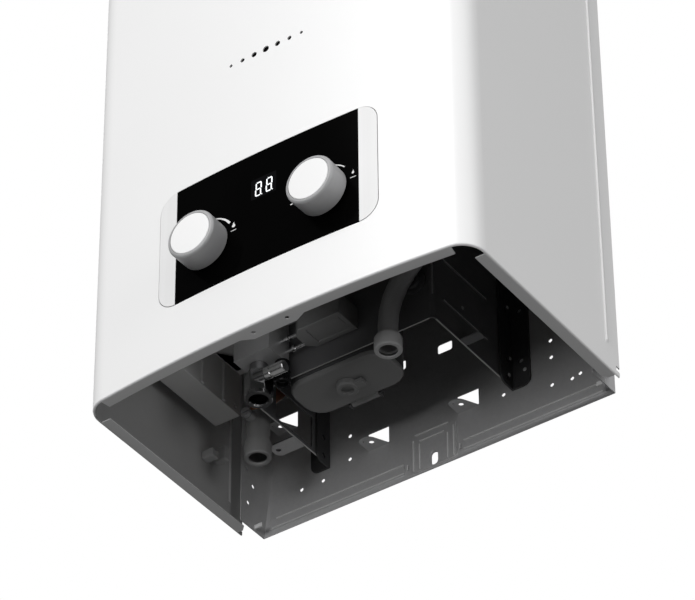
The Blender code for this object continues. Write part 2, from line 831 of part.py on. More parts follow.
def notch_loop(side):
    """Plan of the small notch at a side's lower rear corner."""
    inner = side * (HALF_WIDTH - RETURN_WIDTH - OVERRUN)
    outer = side * (HALF_WIDTH + OVERRUN)
    return rectangle(min(inner, outer), max(inner, outer), REAR_Y - NOTCH_DEPTH, REAR_Y + OVERRUN)


def panel_loop(growth):
    """Outline of the panel in front view, grown on every side."""
    half = PANEL_WIDTH / 2 + growth
    low = PANEL_BOTTOM - growth
    high = PANEL_BOTTOM + PANEL_HEIGHT + growth
    return rounded(-half, half, low, high, PANEL_CORNER + growth)


# Back plate

def window_places():
    """Middle and lower edge of each lanced window."""
    third = (THIRD_WINDOW_X, THIRD_WINDOW_BOTTOM)
    return (WINDOW_RIGHT, WINDOW_BOTTOM), (WINDOW_LEFT, WINDOW_BOTTOM), third


def slot_loop(growth):
    """Outline of the upright slot at the bottom, grown on every side."""
    half = SLOT_WIDTH / 2 + growth
    tall = SLOT_LENGTH / 2 + growth
    low = arc(0.0, SLOT_HEIGHT - tall + half, half, -pi, 0, 6)
    return low + arc(0.0, SLOT_HEIGHT + tall - half, half, 0, pi, 6)


def plate_holes():
    """Hole loops of the back plate in front view."""
    loops = [slot_loop(0.0)]
    for x, low in window_places():
        loops.append(rectangle(x - WINDOW_WIDTH / 2, x + WINDOW_WIDTH / 2, low, low + WINDOW_HEIGHT))
    for x in (SQUARE_RIGHT, SQUARE_LEFT):
        wide = SQUARE_WIDTH / 2
        top = SQUARE_BOTTOM + SQUARE_HEIGHT
        loops.append(rounded(x - wide, x + wide, SQUARE_BOTTOM, top, SQUARE_CORNER, 2))
    loops += [circle(u * PLATE_HALF, v * HOLE_BAND, HOLE_RADIUS, 6, pi / 6) for u, v in HOLE_SHARES]
    return loops + [keyhole(side * KEYHOLE_SPACING / 2) for side in (-1, 1)]


def keyhole(x):
    """Round hole with a narrow slot above it, for a wall screw."""
    half = asin(KEYHOLE_SLOT / KEYHOLE_RADIUS)
    bow = arc(x, HANG_HEIGHT, KEYHOLE_RADIUS, pi / 2 - half, half - 3 * pi / 2, 12)
    top = HANG_HEIGHT + KEYHOLE_RISE
    return [(x - KEYHOLE_SLOT, top), (x + KEYHOLE_SLOT, top)] + bow


def window_flap(x, low):
    """Tab bent forward from the lower edge of a lanced window, with its screw hole."""
    left = x - WINDOW_WIDTH / 2 + CLEAR
    right = x + WINDOW_WIDTH / 2 - CLEAR
    tip = -FLAP_REACH - PLATE_SHEET
    outer = [(left, -PLATE_SHEET / 2), (left, tip), (left + FLAP_TIP, tip), (right, -PLATE_SHEET / 2)]
    hole = circle(left + FLAP_TIP - FLAP_HOLE, tip / 2, FLAP_HOLE, 8)
    top = low - CLEAR
    return pierced(prism([outer], "Z", top - FLAP_SHEET, top), [hole], "Z", top - FLAP_SHEET, top)


def plate_ribs():
    """Pressed ribs along the bottom and the pad round the middle slot."""
    front = -PLATE_SHEET - RIB_RISE
    back = -PLATE_SHEET / 2
    ribs = [
        prism([rectangle(min(a, b), max(a, b), RIB_BOTTOM, RIB_BOTTOM + RIB_HEIGHT)], "Y", front, back)
        for a, b in ((RIB_INNER, RIB_OUTER), (-RIB_INNER, -RIB_OUTER))
    ]
    pad = rounded(-PAD_WIDTH / 2, PAD_WIDTH / 2, RIB_RISE, PAD_HEIGHT, RIB_BOTTOM, 3)
    ribs.append(pierced(prism([pad], "Y", front, back), [slot_loop(CLEAR)], "Y", front, back))
    return ribs


def side_flange(side):
    """Flange along one side of the pan, with its small holes."""
    outline = rectangle(-PAN_DEPTH, -PLATE_SHEET / 2, 0.0, PAN_TOP)
    holes = [circle(-u * PAN_DEPTH, v * HOLE_BAND, HOLE_RADIUS, 8) for u, v in FLANGE_HOLE_SHARES]
    edges = sorted((side * PLATE_HALF, side * (PLATE_HALF - PLATE_SHEET)))
    return pierced(prism([outline], "X", *edges), holes, "X", *edges)


def back_plate():
    """Pan that hangs on the wall: rear sheet, side and top flanges, ribs, windows and holes."""
    sheet = prism([rectangle(-PLATE_HALF, PLATE_HALF, 0.0, PAN_TOP)], "Y", -PLATE_SHEET, 0.0)
    sheet = pierced(sheet, plate_holes(), "Y", -PLATE_SHEET, 0.0)
    top = block(
        (-PLATE_HALF + PLATE_SHEET / 2, -PAN_DEPTH, PAN_TOP - PLATE_SHEET),
        (PLATE_HALF - PLATE_SHEET / 2, -PLATE_SHEET / 2, PAN_TOP),
    )
    flaps = [window_flap(x, low) for x, low in window_places()]
    add("back_plate", united(sheet, side_flange(1), side_flange(-1), top, *flaps, *plate_ribs()), "zinc")


# Control panel

def panel_frame():
    """Bowed base behind the glass with the two silver ends standing in front of it."""
    base_in = COVER_SHEET + CLEAR
    holes = [circle(side * KNOB_SPACING / 2, KNOB_Z, BUSH_RADIUS + CLEAR, 14) for side in (-1, 1)]
    holes.append(display_loop(0.0))
    base = bowed_plate(panel_loop(PANEL_FLANGE), holes, base_in, base_in + PANEL_BASE, PANEL_STRIPS)
    low = PANEL_BOTTOM
    high = PANEL_BOTTOM + PANEL_HEIGHT
    right = PANEL_WIDTH / 2
    centre = right - PANEL_CORNER
    end = [(GLASS_WIDTH / 2, low)] + arc(centre, low + PANEL_CORNER, PANEL_CORNER, -pi / 2, 0, 4)
    end += arc(centre, high - PANEL_CORNER, PANEL_CORNER, 0, pi / 2, 4) + [(GLASS_WIDTH / 2, high)]
    ends = [
        bowed(prism([[(side * x, z) for x, z in end]], "Y", -PANEL_PROUD, base_in + PANEL_BASE / 2))
        for side in (-1, 1)
    ]
    add("panel_frame", united(base, *ends), "silver")


def display_loop(growth):
    """Outline of the display window in front view, grown on every side."""
    half = DISPLAY_WIDTH / 2 + growth
    tall = DISPLAY_HEIGHT / 2 + growth
    return rectangle(DISPLAY_X - half, DISPLAY_X + half, DISPLAY_Z - tall, DISPLAY_Z + tall)


def panel_glass():
    """Black glass between the silver ends, with holes for the bushes and the display lens."""
    edge = GLASS_WIDTH / 2 - CLEAR
    holes = [circle(side * KNOB_SPACING / 2, KNOB_Z, BUSH_FLANGE + CLEAR, 16) for side in (-1, 1)]
    holes.append(display_loop(CLEAR))
    outline = rectangle(-edge, edge, PANEL_BOTTOM, PANEL_BOTTOM + PANEL_HEIGHT)
    rear = GLASS_THICKNESS - PANEL_PROUD
    add("panel_glass", bowed_plate(outline, holes, -PANEL_PROUD, rear, PANEL_STRIPS), "glass")


def display():
    """Lens in the glass, the digit module behind it and the control board that carries it."""
    half = DISPLAY_WIDTH / 2
    tall = DISPLAY_HEIGHT / 2
    lens_rear = COVER_SHEET
    add("display_lens", bowed_plate(display_loop(0.0), [], -PANEL_PROUD, lens_rear, 3), "glass")
    low_y = front_y(half, lens_rear + CLEAR)
    module = block(
        (DISPLAY_X - half + CLEAR, low_y, DISPLAY_Z - tall + CLEAR),
        (DISPLAY_X + half - CLEAR, low_y + MODULE_DEPTH, DISPLAY_Z + tall - CLEAR),
    )
    add("display_module", module, "dark_plastic")
    board_y = low_y + MODULE_DEPTH + CLEAR
    bottom = KNOB_Z + BOARD_LIFT
    outline = rectangle(-BOARD_WIDTH / 2, BOARD_WIDTH / 2, bottom, bottom + BOARD_HEIGHT)
    edge = BOARD_WIDTH / 2 - PANEL_FLANGE
    holes = [circle(x, bottom + PANEL_FLANGE, HOLE_RADIUS, 8) for x in (-edge, edge)]
    board = pierced(prism([outline], "Y", board_y, board_y + BOARD_THICKNESS), holes, "Y", board_y, board_y)
    add("control_board", board, "green")


# Knobs

def knob_profile():
    """Half section of a knob from its hollow underside over the rim to the cap's seat."""
    profile = [
        (SPINDLE_RADIUS + CLEAR, KNOB_GAP), (KNOB_HUB_RADIUS, KNOB_GAP),
        (KNOB_HUB_RADIUS, KNOB_HOLLOW_DEPTH),
        (KNOB_HOLLOW_RADIUS, KNOB_HOLLOW_DEPTH), (KNOB_HOLLOW_RADIUS, KNOB_GAP),
        (KNOB_BASE_RADIUS, KNOB_GAP),
    ]
    centre_r = KNOB_RADIUS - KNOB_ROUND
    profile += arc(centre_r, KNOB_REACH - KNOB_ROUND, KNOB_ROUND, 0, pi / 2, 3)
    seat = KNOB_REACH - CAP_THICKNESS - CLEAR
    edge = CAP_RADIUS - CAP_THICKNESS
    profile += [(edge, KNOB_REACH), (edge, seat), (SPINDLE_RADIUS / 2, seat)]
    profile += [(SPINDLE_RADIUS / 2, KNOB_BORE_DEPTH), (SPINDLE_RADIUS + CLEAR, KNOB_BORE_DEPTH)]
    return profile


def knob(side, name, body_front):
    """One knob with its face disc, its spindle and the bush that guides it."""
    x = side * KNOB_SPACING / 2
    origin = (x, front_y(x), KNOB_Z)
    add(name + "_knob", turned(knob_profile(), origin, "Y", 22, -1), "satin", origin)
    edge = CAP_RADIUS - CAP_THICKNESS - CLEAR
    seat = KNOB_REACH - CAP_THICKNESS
    cap = [(0, seat), (edge, seat), (edge, KNOB_REACH), (edge - CAP_THICKNESS / 2, KNOB_REACH + CLEAR)]
    cap.append((0, KNOB_REACH + CLEAR))
    add(name + "_knob_cap", turned(cap, origin, "Y", 22, -1), "white", origin)
    length = body_front - (origin[1] - KNOB_BORE_DEPTH + CLEAR)
    spindle = rod(SPINDLE_RADIUS, (x, body_front, KNOB_Z), "Y", length, 12, -1)
    add(name + "_spindle", spindle, "steel", origin)


def bush(side, name):
    """Guide bush for one spindle, seated in the panel's base."""
    x = side * KNOB_SPACING / 2
    base = COVER_SHEET + CLEAR
    bore = SPINDLE_RADIUS + CLEAR
    profile = [
        (bore, base - CLEAR - BUSH_HEAD), (BUSH_FLANGE, base - CLEAR - BUSH_HEAD),
        (BUSH_FLANGE, base - CLEAR),
        (BUSH_RADIUS, base - CLEAR), (BUSH_RADIUS, base + BUSH_LENGTH), (bore, base + BUSH_LENGTH),
    ]
    add(name + "_bush", turned(profile, (x, front_y(x), KNOB_Z), "Y", 14), "dark_plastic")


def flame_window():
    """Mica strip behind the row of holes and the clip that holds it."""
    start = COVER_SHEET + CLEAR
    half = MICA_WIDTH / 2
    tall = MICA_HEIGHT / 2
    strip = rectangle(-half, half, DOT_HEIGHT - tall, DOT_HEIGHT + tall)
    add("flame_window", bowed_plate(strip, [], start, start + MICA_THICKNESS, MICA_STRIPS), "mica")
    start += MICA_THICKNESS + CLEAR
    wide = CLIP_WIDTH / 2
    outline = rectangle(-wide, wide, DOT_HEIGHT - CLIP_HEIGHT / 2, DOT_HEIGHT + CLIP_HEIGHT / 2)
    open_half = half - PANEL_FLANGE
    low = DOT_HEIGHT - CLIP_WINDOW_HEIGHT / 2
    window = rectangle(-open_half, open_half, low, low + CLIP_WINDOW_HEIGHT)
    add("window_clip", bowed_plate(outline, [window], start, start + CLIP_THICKNESS, MICA_STRIPS), "zinc")


# Chassis

def chassis():
    """Sheet box round the burner, open at the bottom and the rear, with ribs and a foot tab."""
    sheet = CHASSIS_SHEET
    inner_bend = CHASSIS_BEND - sheet
    right, left, front = CHASSIS_RIGHT, CHASSIS_LEFT, CHASSIS_FRONT
    centre_y = front + CHASSIS_BEND
    bend_right, bend_left = right - CHASSIS_BEND, left + CHASSIS_BEND
    outer = [(right, CHASSIS_REAR)] + arc(bend_right, centre_y, CHASSIS_BEND, 0, -pi / 2, 3)
    outer += arc(bend_left, centre_y, CHASSIS_BEND, -pi / 2, -pi, 3) + [(left, CHASSIS_REAR)]
    inner = [(left + sheet, CHASSIS_REAR)] + arc(bend_left, centre_y, inner_bend, -pi, -pi / 2, 3)
    inner += arc(bend_right, centre_y, inner_bend, -pi / 2, 0, 3) + [(right - sheet, CHASSIS_REAR)]
    body = prism([outer + inner], "Z", CHASSIS_BOTTOM, CHASSIS_TOP)
    parts = []
    height = CHASSIS_TOP - CHASSIS_BOTTOM
    start = front + CHASSIS_BEND * 3
    for share in CHASSIS_RIB_SHARES:
        z = CHASSIS_BOTTOM + share * height
        low = (right - sheet / 2, start, z)
        high = (right + CHASSIS_RIB_RISE, start + CHASSIS_RIB_LENGTH, z + CHASSIS_RIB_WIDTH)
        parts.append(block(low, high))
    tip = left - FOOT_REACH
    near = -FOOT_FROM_WALL - FOOT_WIDTH / 2
    foot = [(left + sheet / 2, near - FOOT_WIDTH / 2), (left + sheet / 2, near + FOOT_WIDTH / 2)]
    foot += [(tip + FOOT_WIDTH / 3, near + FOOT_WIDTH / 2), (tip, near + FOOT_WIDTH / 4)]
    foot += [(tip, near - FOOT_WIDTH / 4), (tip + FOOT_WIDTH / 3, near - FOOT_WIDTH / 2)]
    hole = circle(tip + FOOT_WIDTH / 3, near, FOOT_HOLE, 8)
    parts.append(prism([foot, hole], "Z", CHASSIS_BOTTOM, CHASSIS_BOTTOM + sheet))
    slot = block(
        (left + BURNER_MARGIN, front - OVERRUN, NOZZLE_Z - NOZZLE_SLOT_HEIGHT / 2),
        (right - BURNER_MARGIN, front + OVERRUN, NOZZLE_Z + NOZZLE_SLOT_HEIGHT / 2),
    )
    sill = CHASSIS_BOTTOM + SIDE_OPENING_SILL
    side = block(
        (left - OVERRUN, -SIDE_OPENING_FROM_WALL - SIDE_OPENING_LENGTH, sill),
        (left + OVERRUN, -SIDE_OPENING_FROM_WALL, sill + SIDE_OPENING_HEIGHT),
    )
    add("chassis", cut(united(body, *parts), slot, side), "dark_steel")


def bracket(name, leg_x, side):
    """Angle bracket: a leg beside the chassis and a flange on the back plate, rounded below."""
    rear = -PLATE_SHEET - CLEAR
    sheet = BRACKET_SHEET
    round_ = BRACKET_ROUND
    height = BRACKET_TOP - BRACKET_BOTTOM
    leg = [(rear, BRACKET_TOP), (rear, BRACKET_BOTTOM)]
    corner = arc(rear - BRACKET_LEG + round_, BRACKET_BOTTOM + round_, round_, pi, 3 * pi / 2, 4)
    leg += list(reversed(corner))
    leg += [(rear - BRACKET_LEG, BRACKET_TOP)]
    middle = rear - BRACKET_LEG / 2
    heights = [BRACKET_BOTTOM + share * height for share in BRACKET_HOLE_SHARES]
    holes = [circle(middle, z, BRACKET_HOLE, 8) for z in heights]
    edges = sorted((leg_x, leg_x + side * sheet))
    body = prism([leg] + holes, "X", *edges)
    tip = leg_x + side * BRACKET_FLANGE
    start, end = (pi * 3 / 2, 2 * pi) if side > 0 else (pi * 3 / 2, pi)
    flange = [(leg_x + side * sheet / 2, BRACKET_TOP), (leg_x + side * sheet / 2, BRACKET_BOTTOM)]
    flange += arc(tip - side * round_, BRACKET_BOTTOM + round_, round_, start, end, 4)
    flange += [(tip, BRACKET_TOP)]
    middle = leg_x + side * (sheet + BRACKET_FLANGE) / 2
    holes = [circle(middle, z, BRACKET_HOLE, 8) for z in heights[1:]]
    add(name, united(body, prism([flange] + holes, "Y", rear - sheet, rear)), "black")


# Burner

def bar_place(i):
    """Left side of one burner bar."""
    left = CHASSIS_LEFT + CHASSIS_SHEET + CLEAR + BURNER_MARGIN
    right = CHASSIS_RIGHT - CHASSIS_SHEET - CLEAR - BURNER_MARGIN - BAR_THICKNESS
    return left + (right - left) * i / (BAR_COUNT - 1)


def burner():
    """Row of flat burner bars on one frame, with their mouths towards the nozzles."""
    left = CHASSIS_LEFT + CHASSIS_SHEET + CLEAR
    right = CHASSIS_RIGHT - CHASSIS_SHEET - CLEAR
    front = CHASSIS_FRONT + CHASSIS_BEND
    rear = -PLATE_SHEET - BRACKET_LEG - 3 * CLEAR
    rail = BURNER_RAIL
    loops = [
        rectangle(left, right, front, rear), rectangle(left + rail, right - rail, front + rail, rear - rail),
    ]
    frame = prism(loops, "Z", BAR_BOTTOM - BURNER_RAIL_HEIGHT, BAR_BOTTOM + BURNER_SEAT)
    near = front + rail - BURNER_SEAT
    top = BAR_BOTTOM + BAR_HEIGHT
    outline = [
        (near, BAR_BOTTOM), (rear - BURNER_SEAT, BAR_BOTTOM), (rear - BURNER_SEAT, top),
        (near + BAR_MOUTH, top),
        (near + BAR_MOUTH, BAR_BOTTOM + 2 * BAR_MOUTH), (near, BAR_BOTTOM + 2 * BAR_MOUTH),
    ]
    bars = [prism([outline], "X", bar_place(i), bar_place(i) + BAR_THICKNESS) for i in range(BAR_COUNT)]
    add("burner", united(frame, grouped(*bars)), "steel")


def manifold():
    """Gas manifold with a nozzle for each burner bar."""
    left = CHASSIS_LEFT + CHASSIS_SHEET + CLEAR
    right = CHASSIS_RIGHT - CHASSIS_SHEET - CLEAR
    centre = CHASSIS_FRONT - MANIFOLD_GAP - MANIFOLD_RADIUS
    tube = rod(MANIFOLD_RADIUS, (left, centre, NOZZLE_Z), "X", right - left, 12)
    reach = MANIFOLD_RADIUS + NOZZLE_LENGTH
    profile = [
        (0, 0), (NOZZLE_RADIUS, 0), (NOZZLE_RADIUS, MANIFOLD_RADIUS + NOZZLE_LENGTH / 2),
        (NOZZLE_TIP, reach),
        (0, reach),
    ]
    middles = [bar_place(i) + BAR_THICKNESS / 2 for i in range(BAR_COUNT)]
    nozzles = [turned(profile, (x, centre, NOZZLE_Z), "Y", 6) for x in middles]
    add("gas_manifold", united(tube, grouped(*nozzles)), "brass")


def gas_pipe():
    """Pipe from the top of the gas valve to the underside of the manifold."""
    manifold_y = CHASSIS_FRONT - MANIFOLD_GAP - MANIFOLD_RADIUS
    x = (GAS_BODY_LEFT + GAS_BODY_RIGHT) / 2
    y = VALVE_Y + GAS_BODY_DEPTH / 3
    low = GAS_BODY_TOP + CLEAR
    high = NOZZLE_Z - MANIFOLD_RADIUS - CLEAR
    middle = (low + high) / 2
    corners = [(x, y, low), (x, y, middle), (x, manifold_y, middle), (x, manifold_y, high)]
    add("gas_pipe", sweep(rounded_route(corners, GAS_PIPE_BEND), GAS_PIPE_RADIUS, 10), "copper")


# Heat exchanger

def chamber_loop(inset):
    """Plan of the combustion chamber, moved inwards by inset."""
    return rounded(
        CHASSIS_LEFT + inset, CHASSIS_RIGHT - inset, CHASSIS_FRONT + inset, CHAMBER_REAR - inset,
        CHAMBER_CORNER - inset, 3,
    )


def chamber():
    """Combustion chamber above the burner and the shell round the fins on top of it."""
    loops = [chamber_loop(0.0), chamber_loop(CHAMBER_SHEET)]
    holes = [
        rod(ELECTRODE_RADIUS + CLEAR, (x, CHASSIS_FRONT - OVERRUN, ELECTRODE_Z), "Y", 2 * OVERRUN, 10)
        for x in (ELECTRODE_X, SENSOR_X)
    ]
    walls = cut(prism(loops, "Z", CHASSIS_TOP + CLEAR, CHAMBER_TOP), *holes)
    add("combustion_chamber", walls, "copper")
    body = prism(loops, "Z", CHAMBER_TOP + CLEAR, FIN_BOTTOM + FIN_HEIGHT + FIN_MARGIN)
    reach = CHASSIS_RIGHT - CHASSIS_LEFT + 2 * OVERRUN
    tools = [
        rod(COIL_RADIUS + CLEAR, (CHASSIS_LEFT - OVERRUN, y, PASS_Z), "X", reach, 12) for y in pass_places()
    ]
    add("exchanger_shell", cut(body, *tools), "copper")


def pass_places():
    """Depths of the tube's straight passes through the fins."""
    return [PASS_FRONT + PASS_PITCH * i for i in range(PASS_COUNT)]


def fins():
    """Row of upright fins on two tie bars, each with a hole for every pass of the tube."""
    front = CHASSIS_FRONT + CHAMBER_SHEET + CLEAR
    rear = CHAMBER_REAR - CHAMBER_SHEET - CLEAR
    hole = (COIL_RADIUS + CLEAR) / cos(pi / 6)
    holes = [circle(y, PASS_Z, hole, 6) for y in pass_places()]
    outline = rectangle(front, rear, FIN_BOTTOM, FIN_BOTTOM + FIN_HEIGHT)
    start = CHASSIS_LEFT + CHAMBER_SHEET + FIN_MARGIN
    width = CHASSIS_RIGHT - CHAMBER_SHEET - FIN_MARGIN - FIN_THICKNESS - start
    plates = []
    for i in range(FIN_COUNT):
        x = start + width * i / (FIN_COUNT - 1)
        plates.append(prism([outline] + holes, "X", x, x + FIN_THICKNESS))
    width += FIN_THICKNESS
    ties = []
    for y in (front, rear - FIN_TIE):
        low = (start, y, FIN_BOTTOM + FIN_HEIGHT - FIN_TIE)
        ties.append(block(low, (start + width, y + FIN_TIE, FIN_BOTTOM + FIN_HEIGHT + FIN_THICKNESS)))
    add("exchanger_fins", united(grouped(*plates), grouped(*ties)), "copper")


def coil_corners():
    """Corner points of the tube's turns round the chamber, up to the level of the fins."""
    z = COIL_START
    side = COIL_RIGHT + COIL_BEND
    quarter = COIL_CLIMB / 4
    corners = [(COIL_RIGHT, COIL_FRONT, z - 2 * COIL_BEND), (COIL_RIGHT, COIL_FRONT, z)]
    for _ in range(COIL_TURNS):
        corners += [
            (COIL_LEFT, COIL_FRONT, z + quarter), (COIL_LEFT, COIL_BACK, z + 2 * quarter),
            (COIL_RIGHT, COIL_BACK, z + 3 * quarter), (COIL_RIGHT, COIL_FRONT, z + COIL_CLIMB),
        ]
        z += COIL_CLIMB
    corners[-1] = (side, COIL_FRONT, z)
    return corners + [(side, COIL_FRONT, PASS_Z - COIL_BEND)]


def return_bend(i, y):
    """Half turn at the end of one pass, outside the exchanger's shell."""
    side = -1 if i % 2 == 0 else 1
    end = CHASSIS_LEFT - COIL_RADIUS if side < 0 else CHASSIS_RIGHT + COIL_RADIUS
    radius = PASS_PITCH / 2
    turns = [-pi / 2 + pi * step / 6 for step in range(7)]
    return [
        Vector((end + side * radius * cos(turn), y + radius + radius * sin(turn), PASS_Z)) for turn in turns
    ]


def exchanger_tube():
    """One unbroken tube from the riser's union to the union of the hot pipe."""
    side = COIL_RIGHT + COIL_BEND
    entry = [
        (side, COIL_FRONT, PASS_Z - 2 * COIL_BEND), (side, COIL_FRONT, PASS_Z), (side, PASS_FRONT, PASS_Z),
        (CHASSIS_RIGHT, PASS_FRONT, PASS_Z),
    ]
    last = pass_places()[-1]
    leaving = [
        (CHASSIS_RIGHT + COIL_RADIUS, last, PASS_Z), (HOT_SIDE_X, last, PASS_Z),
        (HOT_SIDE_X, last, PASS_Z - HOT_DROP),
    ]
    route = rounded_route(coil_corners(), COIL_BEND)[:-1] + rounded_route(entry, PASS_BEND)
    for i, y in enumerate(pass_places()[:-1]):
        route += return_bend(i, y)
    route += rounded_route(leaving, PIPE_BEND)
    add("exchanger_tube", sweep(route, COIL_RADIUS, 8), "copper")


# Draft hood and flue

def hood():
    """Draft hood that narrows from the chamber's rectangle to the flue's circle."""
    low = FIN_BOTTOM + FIN_HEIGHT + FIN_MARGIN + CLEAR
    count = FLUE_COUNT
    radius = FLUE_RADIUS - FLUE_SHEET - CLEAR
    mesh = bmesh.new()
    shells = []
    for inset in (0.0, HOOD_SHEET):
        left, right = CHASSIS_LEFT + inset, CHASSIS_RIGHT - inset
        front, rear = CHASSIS_FRONT + inset, CHAMBER_REAR - inset
        mid_x, mid_y = (left + right) / 2, (front + rear) / 2
        rings = []
        for z, share in ((low, 0.0), (low + HOOD_STRAIGHT, 0.0), (CASING_HEIGHT - HOOD_NECK, 1.0), (CASING_HEIGHT, 1.0)):
            ring = []
            for i in range(count):
                angle = 2 * pi * i / count
                across = (right - left) / 2 / max(abs(cos(angle)), NEAR_ZERO)
                along = (rear - front) / 2 / max(abs(sin(angle)), NEAR_ZERO)
                reach = min(across, along)
                box_x, box_y = mid_x + reach * cos(angle), mid_y + reach * sin(angle)
                round_x = FLUE_X + (radius - inset) * cos(angle)
                round_y = FLUE_Y + (radius - inset) * sin(angle)
                place = (box_x + (round_x - box_x) * share, box_y + (round_y - box_y) * share, z)
                ring.append(mesh.verts.new(place))
            rings.append(ring)
        shells.append(rings)
    for rings in shells:
        for a, b in zip(rings, rings[1:]):
            for i in range(count):
                j = (i + 1) % count
                mesh.faces.new((a[i], a[j], b[j], b[i]))
    for end in (0, -1):
        a, b = shells[0][end], shells[1][end]
        for i in range(count):
            j = (i + 1) % count
            mesh.faces.new((a[i], a[j], b[j], b[i]))
    bmesh.ops.recalc_face_normals(mesh, faces=mesh.faces)
    add("draft_hood", mesh, "zinc")


def flue_collar():
    """Collar on top of the casing that the flue pipe goes over."""
    low = CASING_HEIGHT + CLEAR
    outer = FLUE_RADIUS + FLUE_COLLAR_WIDTH
    inner = FLUE_RADIUS - FLUE_SHEET
    profile = [
        (inner, low - COVER_SHEET), (FLUE_RADIUS, low - COVER_SHEET), (FLUE_RADIUS, low), (outer, low),
        (outer, low + FLUE_COLLAR_THICKNESS), (FLUE_RADIUS, low + FLUE_COLLAR_THICKNESS),
        (FLUE_RADIUS, CASING_HEIGHT + FLUE_RISE), (inner, CASING_HEIGHT + FLUE_RISE),
    ]
    add("flue_collar", turned(profile, (FLUE_X, FLUE_Y, 0.0), "Z", FLUE_COUNT), "zinc")


# Electrodes and thermostat

def electrode(name, x):
    """Ceramic rod through the chamber's front wall with a wire tip above the burner."""
    start = CHASSIS_FRONT - ELECTRODE_OUTSIDE
    ceramic = ELECTRODE_OUTSIDE + ELECTRODE_INSIDE
    profile = [
        (0, 0), (ELECTRODE_RADIUS, 0), (ELECTRODE_RADIUS, ceramic), (ELECTRODE_TIP, ceramic),
        (ELECTRODE_TIP, ceramic + ELECTRODE_TIP_LENGTH), (0, ceramic + ELECTRODE_TIP_LENGTH),
    ]
    add(name, turned(profile, (x, start, ELECTRODE_Z), "Y", 8), "ceramic")


def thermostat():
    """Overheat disc on the exchanger shell's front, with its two tabs."""
    start = CHASSIS_FRONT - CLEAR
    z = FIN_BOTTOM + FIN_HEIGHT / 2
    x = (CHASSIS_LEFT + CHASSIS_RIGHT) / 2
    disc = rod(THERMOSTAT_RADIUS, (x, start, z), "Y", THERMOSTAT_THICKNESS, 16, -1)
    tip = start - THERMOSTAT_THICKNESS
    tabs = []
    for middle in (x - TAB_WIDTH, x + TAB_WIDTH):
        low = (middle - CLEAR, tip - THERMOSTAT_TAB, z - TAB_WIDTH / 2)
        tabs.append(block(low, (middle + CLEAR, tip + CLEAR, z + TAB_WIDTH / 2)))
    add("overheat_thermostat", united(disc, *tabs), "steel")


# Valves

def gas_valve():
    """Cast gas valve body with its spindle gland, rear block, rod bore and solenoid."""
    front = VALVE_Y - GAS_BODY_DEPTH / 2
    back = VALVE_Y + GAS_BODY_DEPTH / 2
    body = block((GAS_BODY_LEFT, front, GAS_BODY_BOTTOM), (GAS_BODY_RIGHT, back, GAS_BODY_TOP))
    rear = block(
        (GAS_BODY_LEFT, back - OVERRUN, GAS_BLOCK_BOTTOM), (GAS_BLOCK_RIGHT, GAS_BLOCK_REAR, GAS_BLOCK_TOP)
    )
    x = -KNOB_SPACING / 2
    gland = rod(GAS_GLAND_RADIUS, (x, front + OVERRUN, KNOB_Z), "Y", GAS_GLAND_LENGTH + OVERRUN, 16, -1)
    body = united(body, rear, gland)
    spindle_hole = rod(
        SPINDLE_RADIUS + CLEAR, (x, front + OVERRUN, KNOB_Z), "Y", GAS_GLAND_LENGTH + 2 * OVERRUN, 12, -1
    )
    depth = ROD_ENTRY + ROD_STROKE + CLEAR
    bore = ROD_RADIUS + ROD_BORE_GAP
    rod_hole = rod(bore, (GAS_BODY_RIGHT - depth, VALVE_Y, KNOB_Z), "X", depth + OVERRUN, 10)
    add("gas_valve_body", cut(body, spindle_hole, rod_hole), "zinc")
    start = GAS_BODY_RIGHT + CLEAR
    ring = [
        (SOLENOID_BORE + CLEAR, 0), (SOLENOID_RADIUS, 0), (SOLENOID_RADIUS, SOLENOID_LENGTH),
        (SOLENOID_BORE + CLEAR, SOLENOID_LENGTH),
    ]
    add("solenoid_coil", turned(ring, (start, VALVE_Y, SOLENOID_Z), "X", 16), "dark_plastic")
    tail = start + SOLENOID_LENGTH - SOLENOID_CORE_LENGTH + SOLENOID_STROKE
    origin = (tail, VALVE_Y, SOLENOID_Z)
    add("solenoid_core", rod(SOLENOID_BORE, origin, "X", SOLENOID_CORE_LENGTH, 10), "steel", origin)


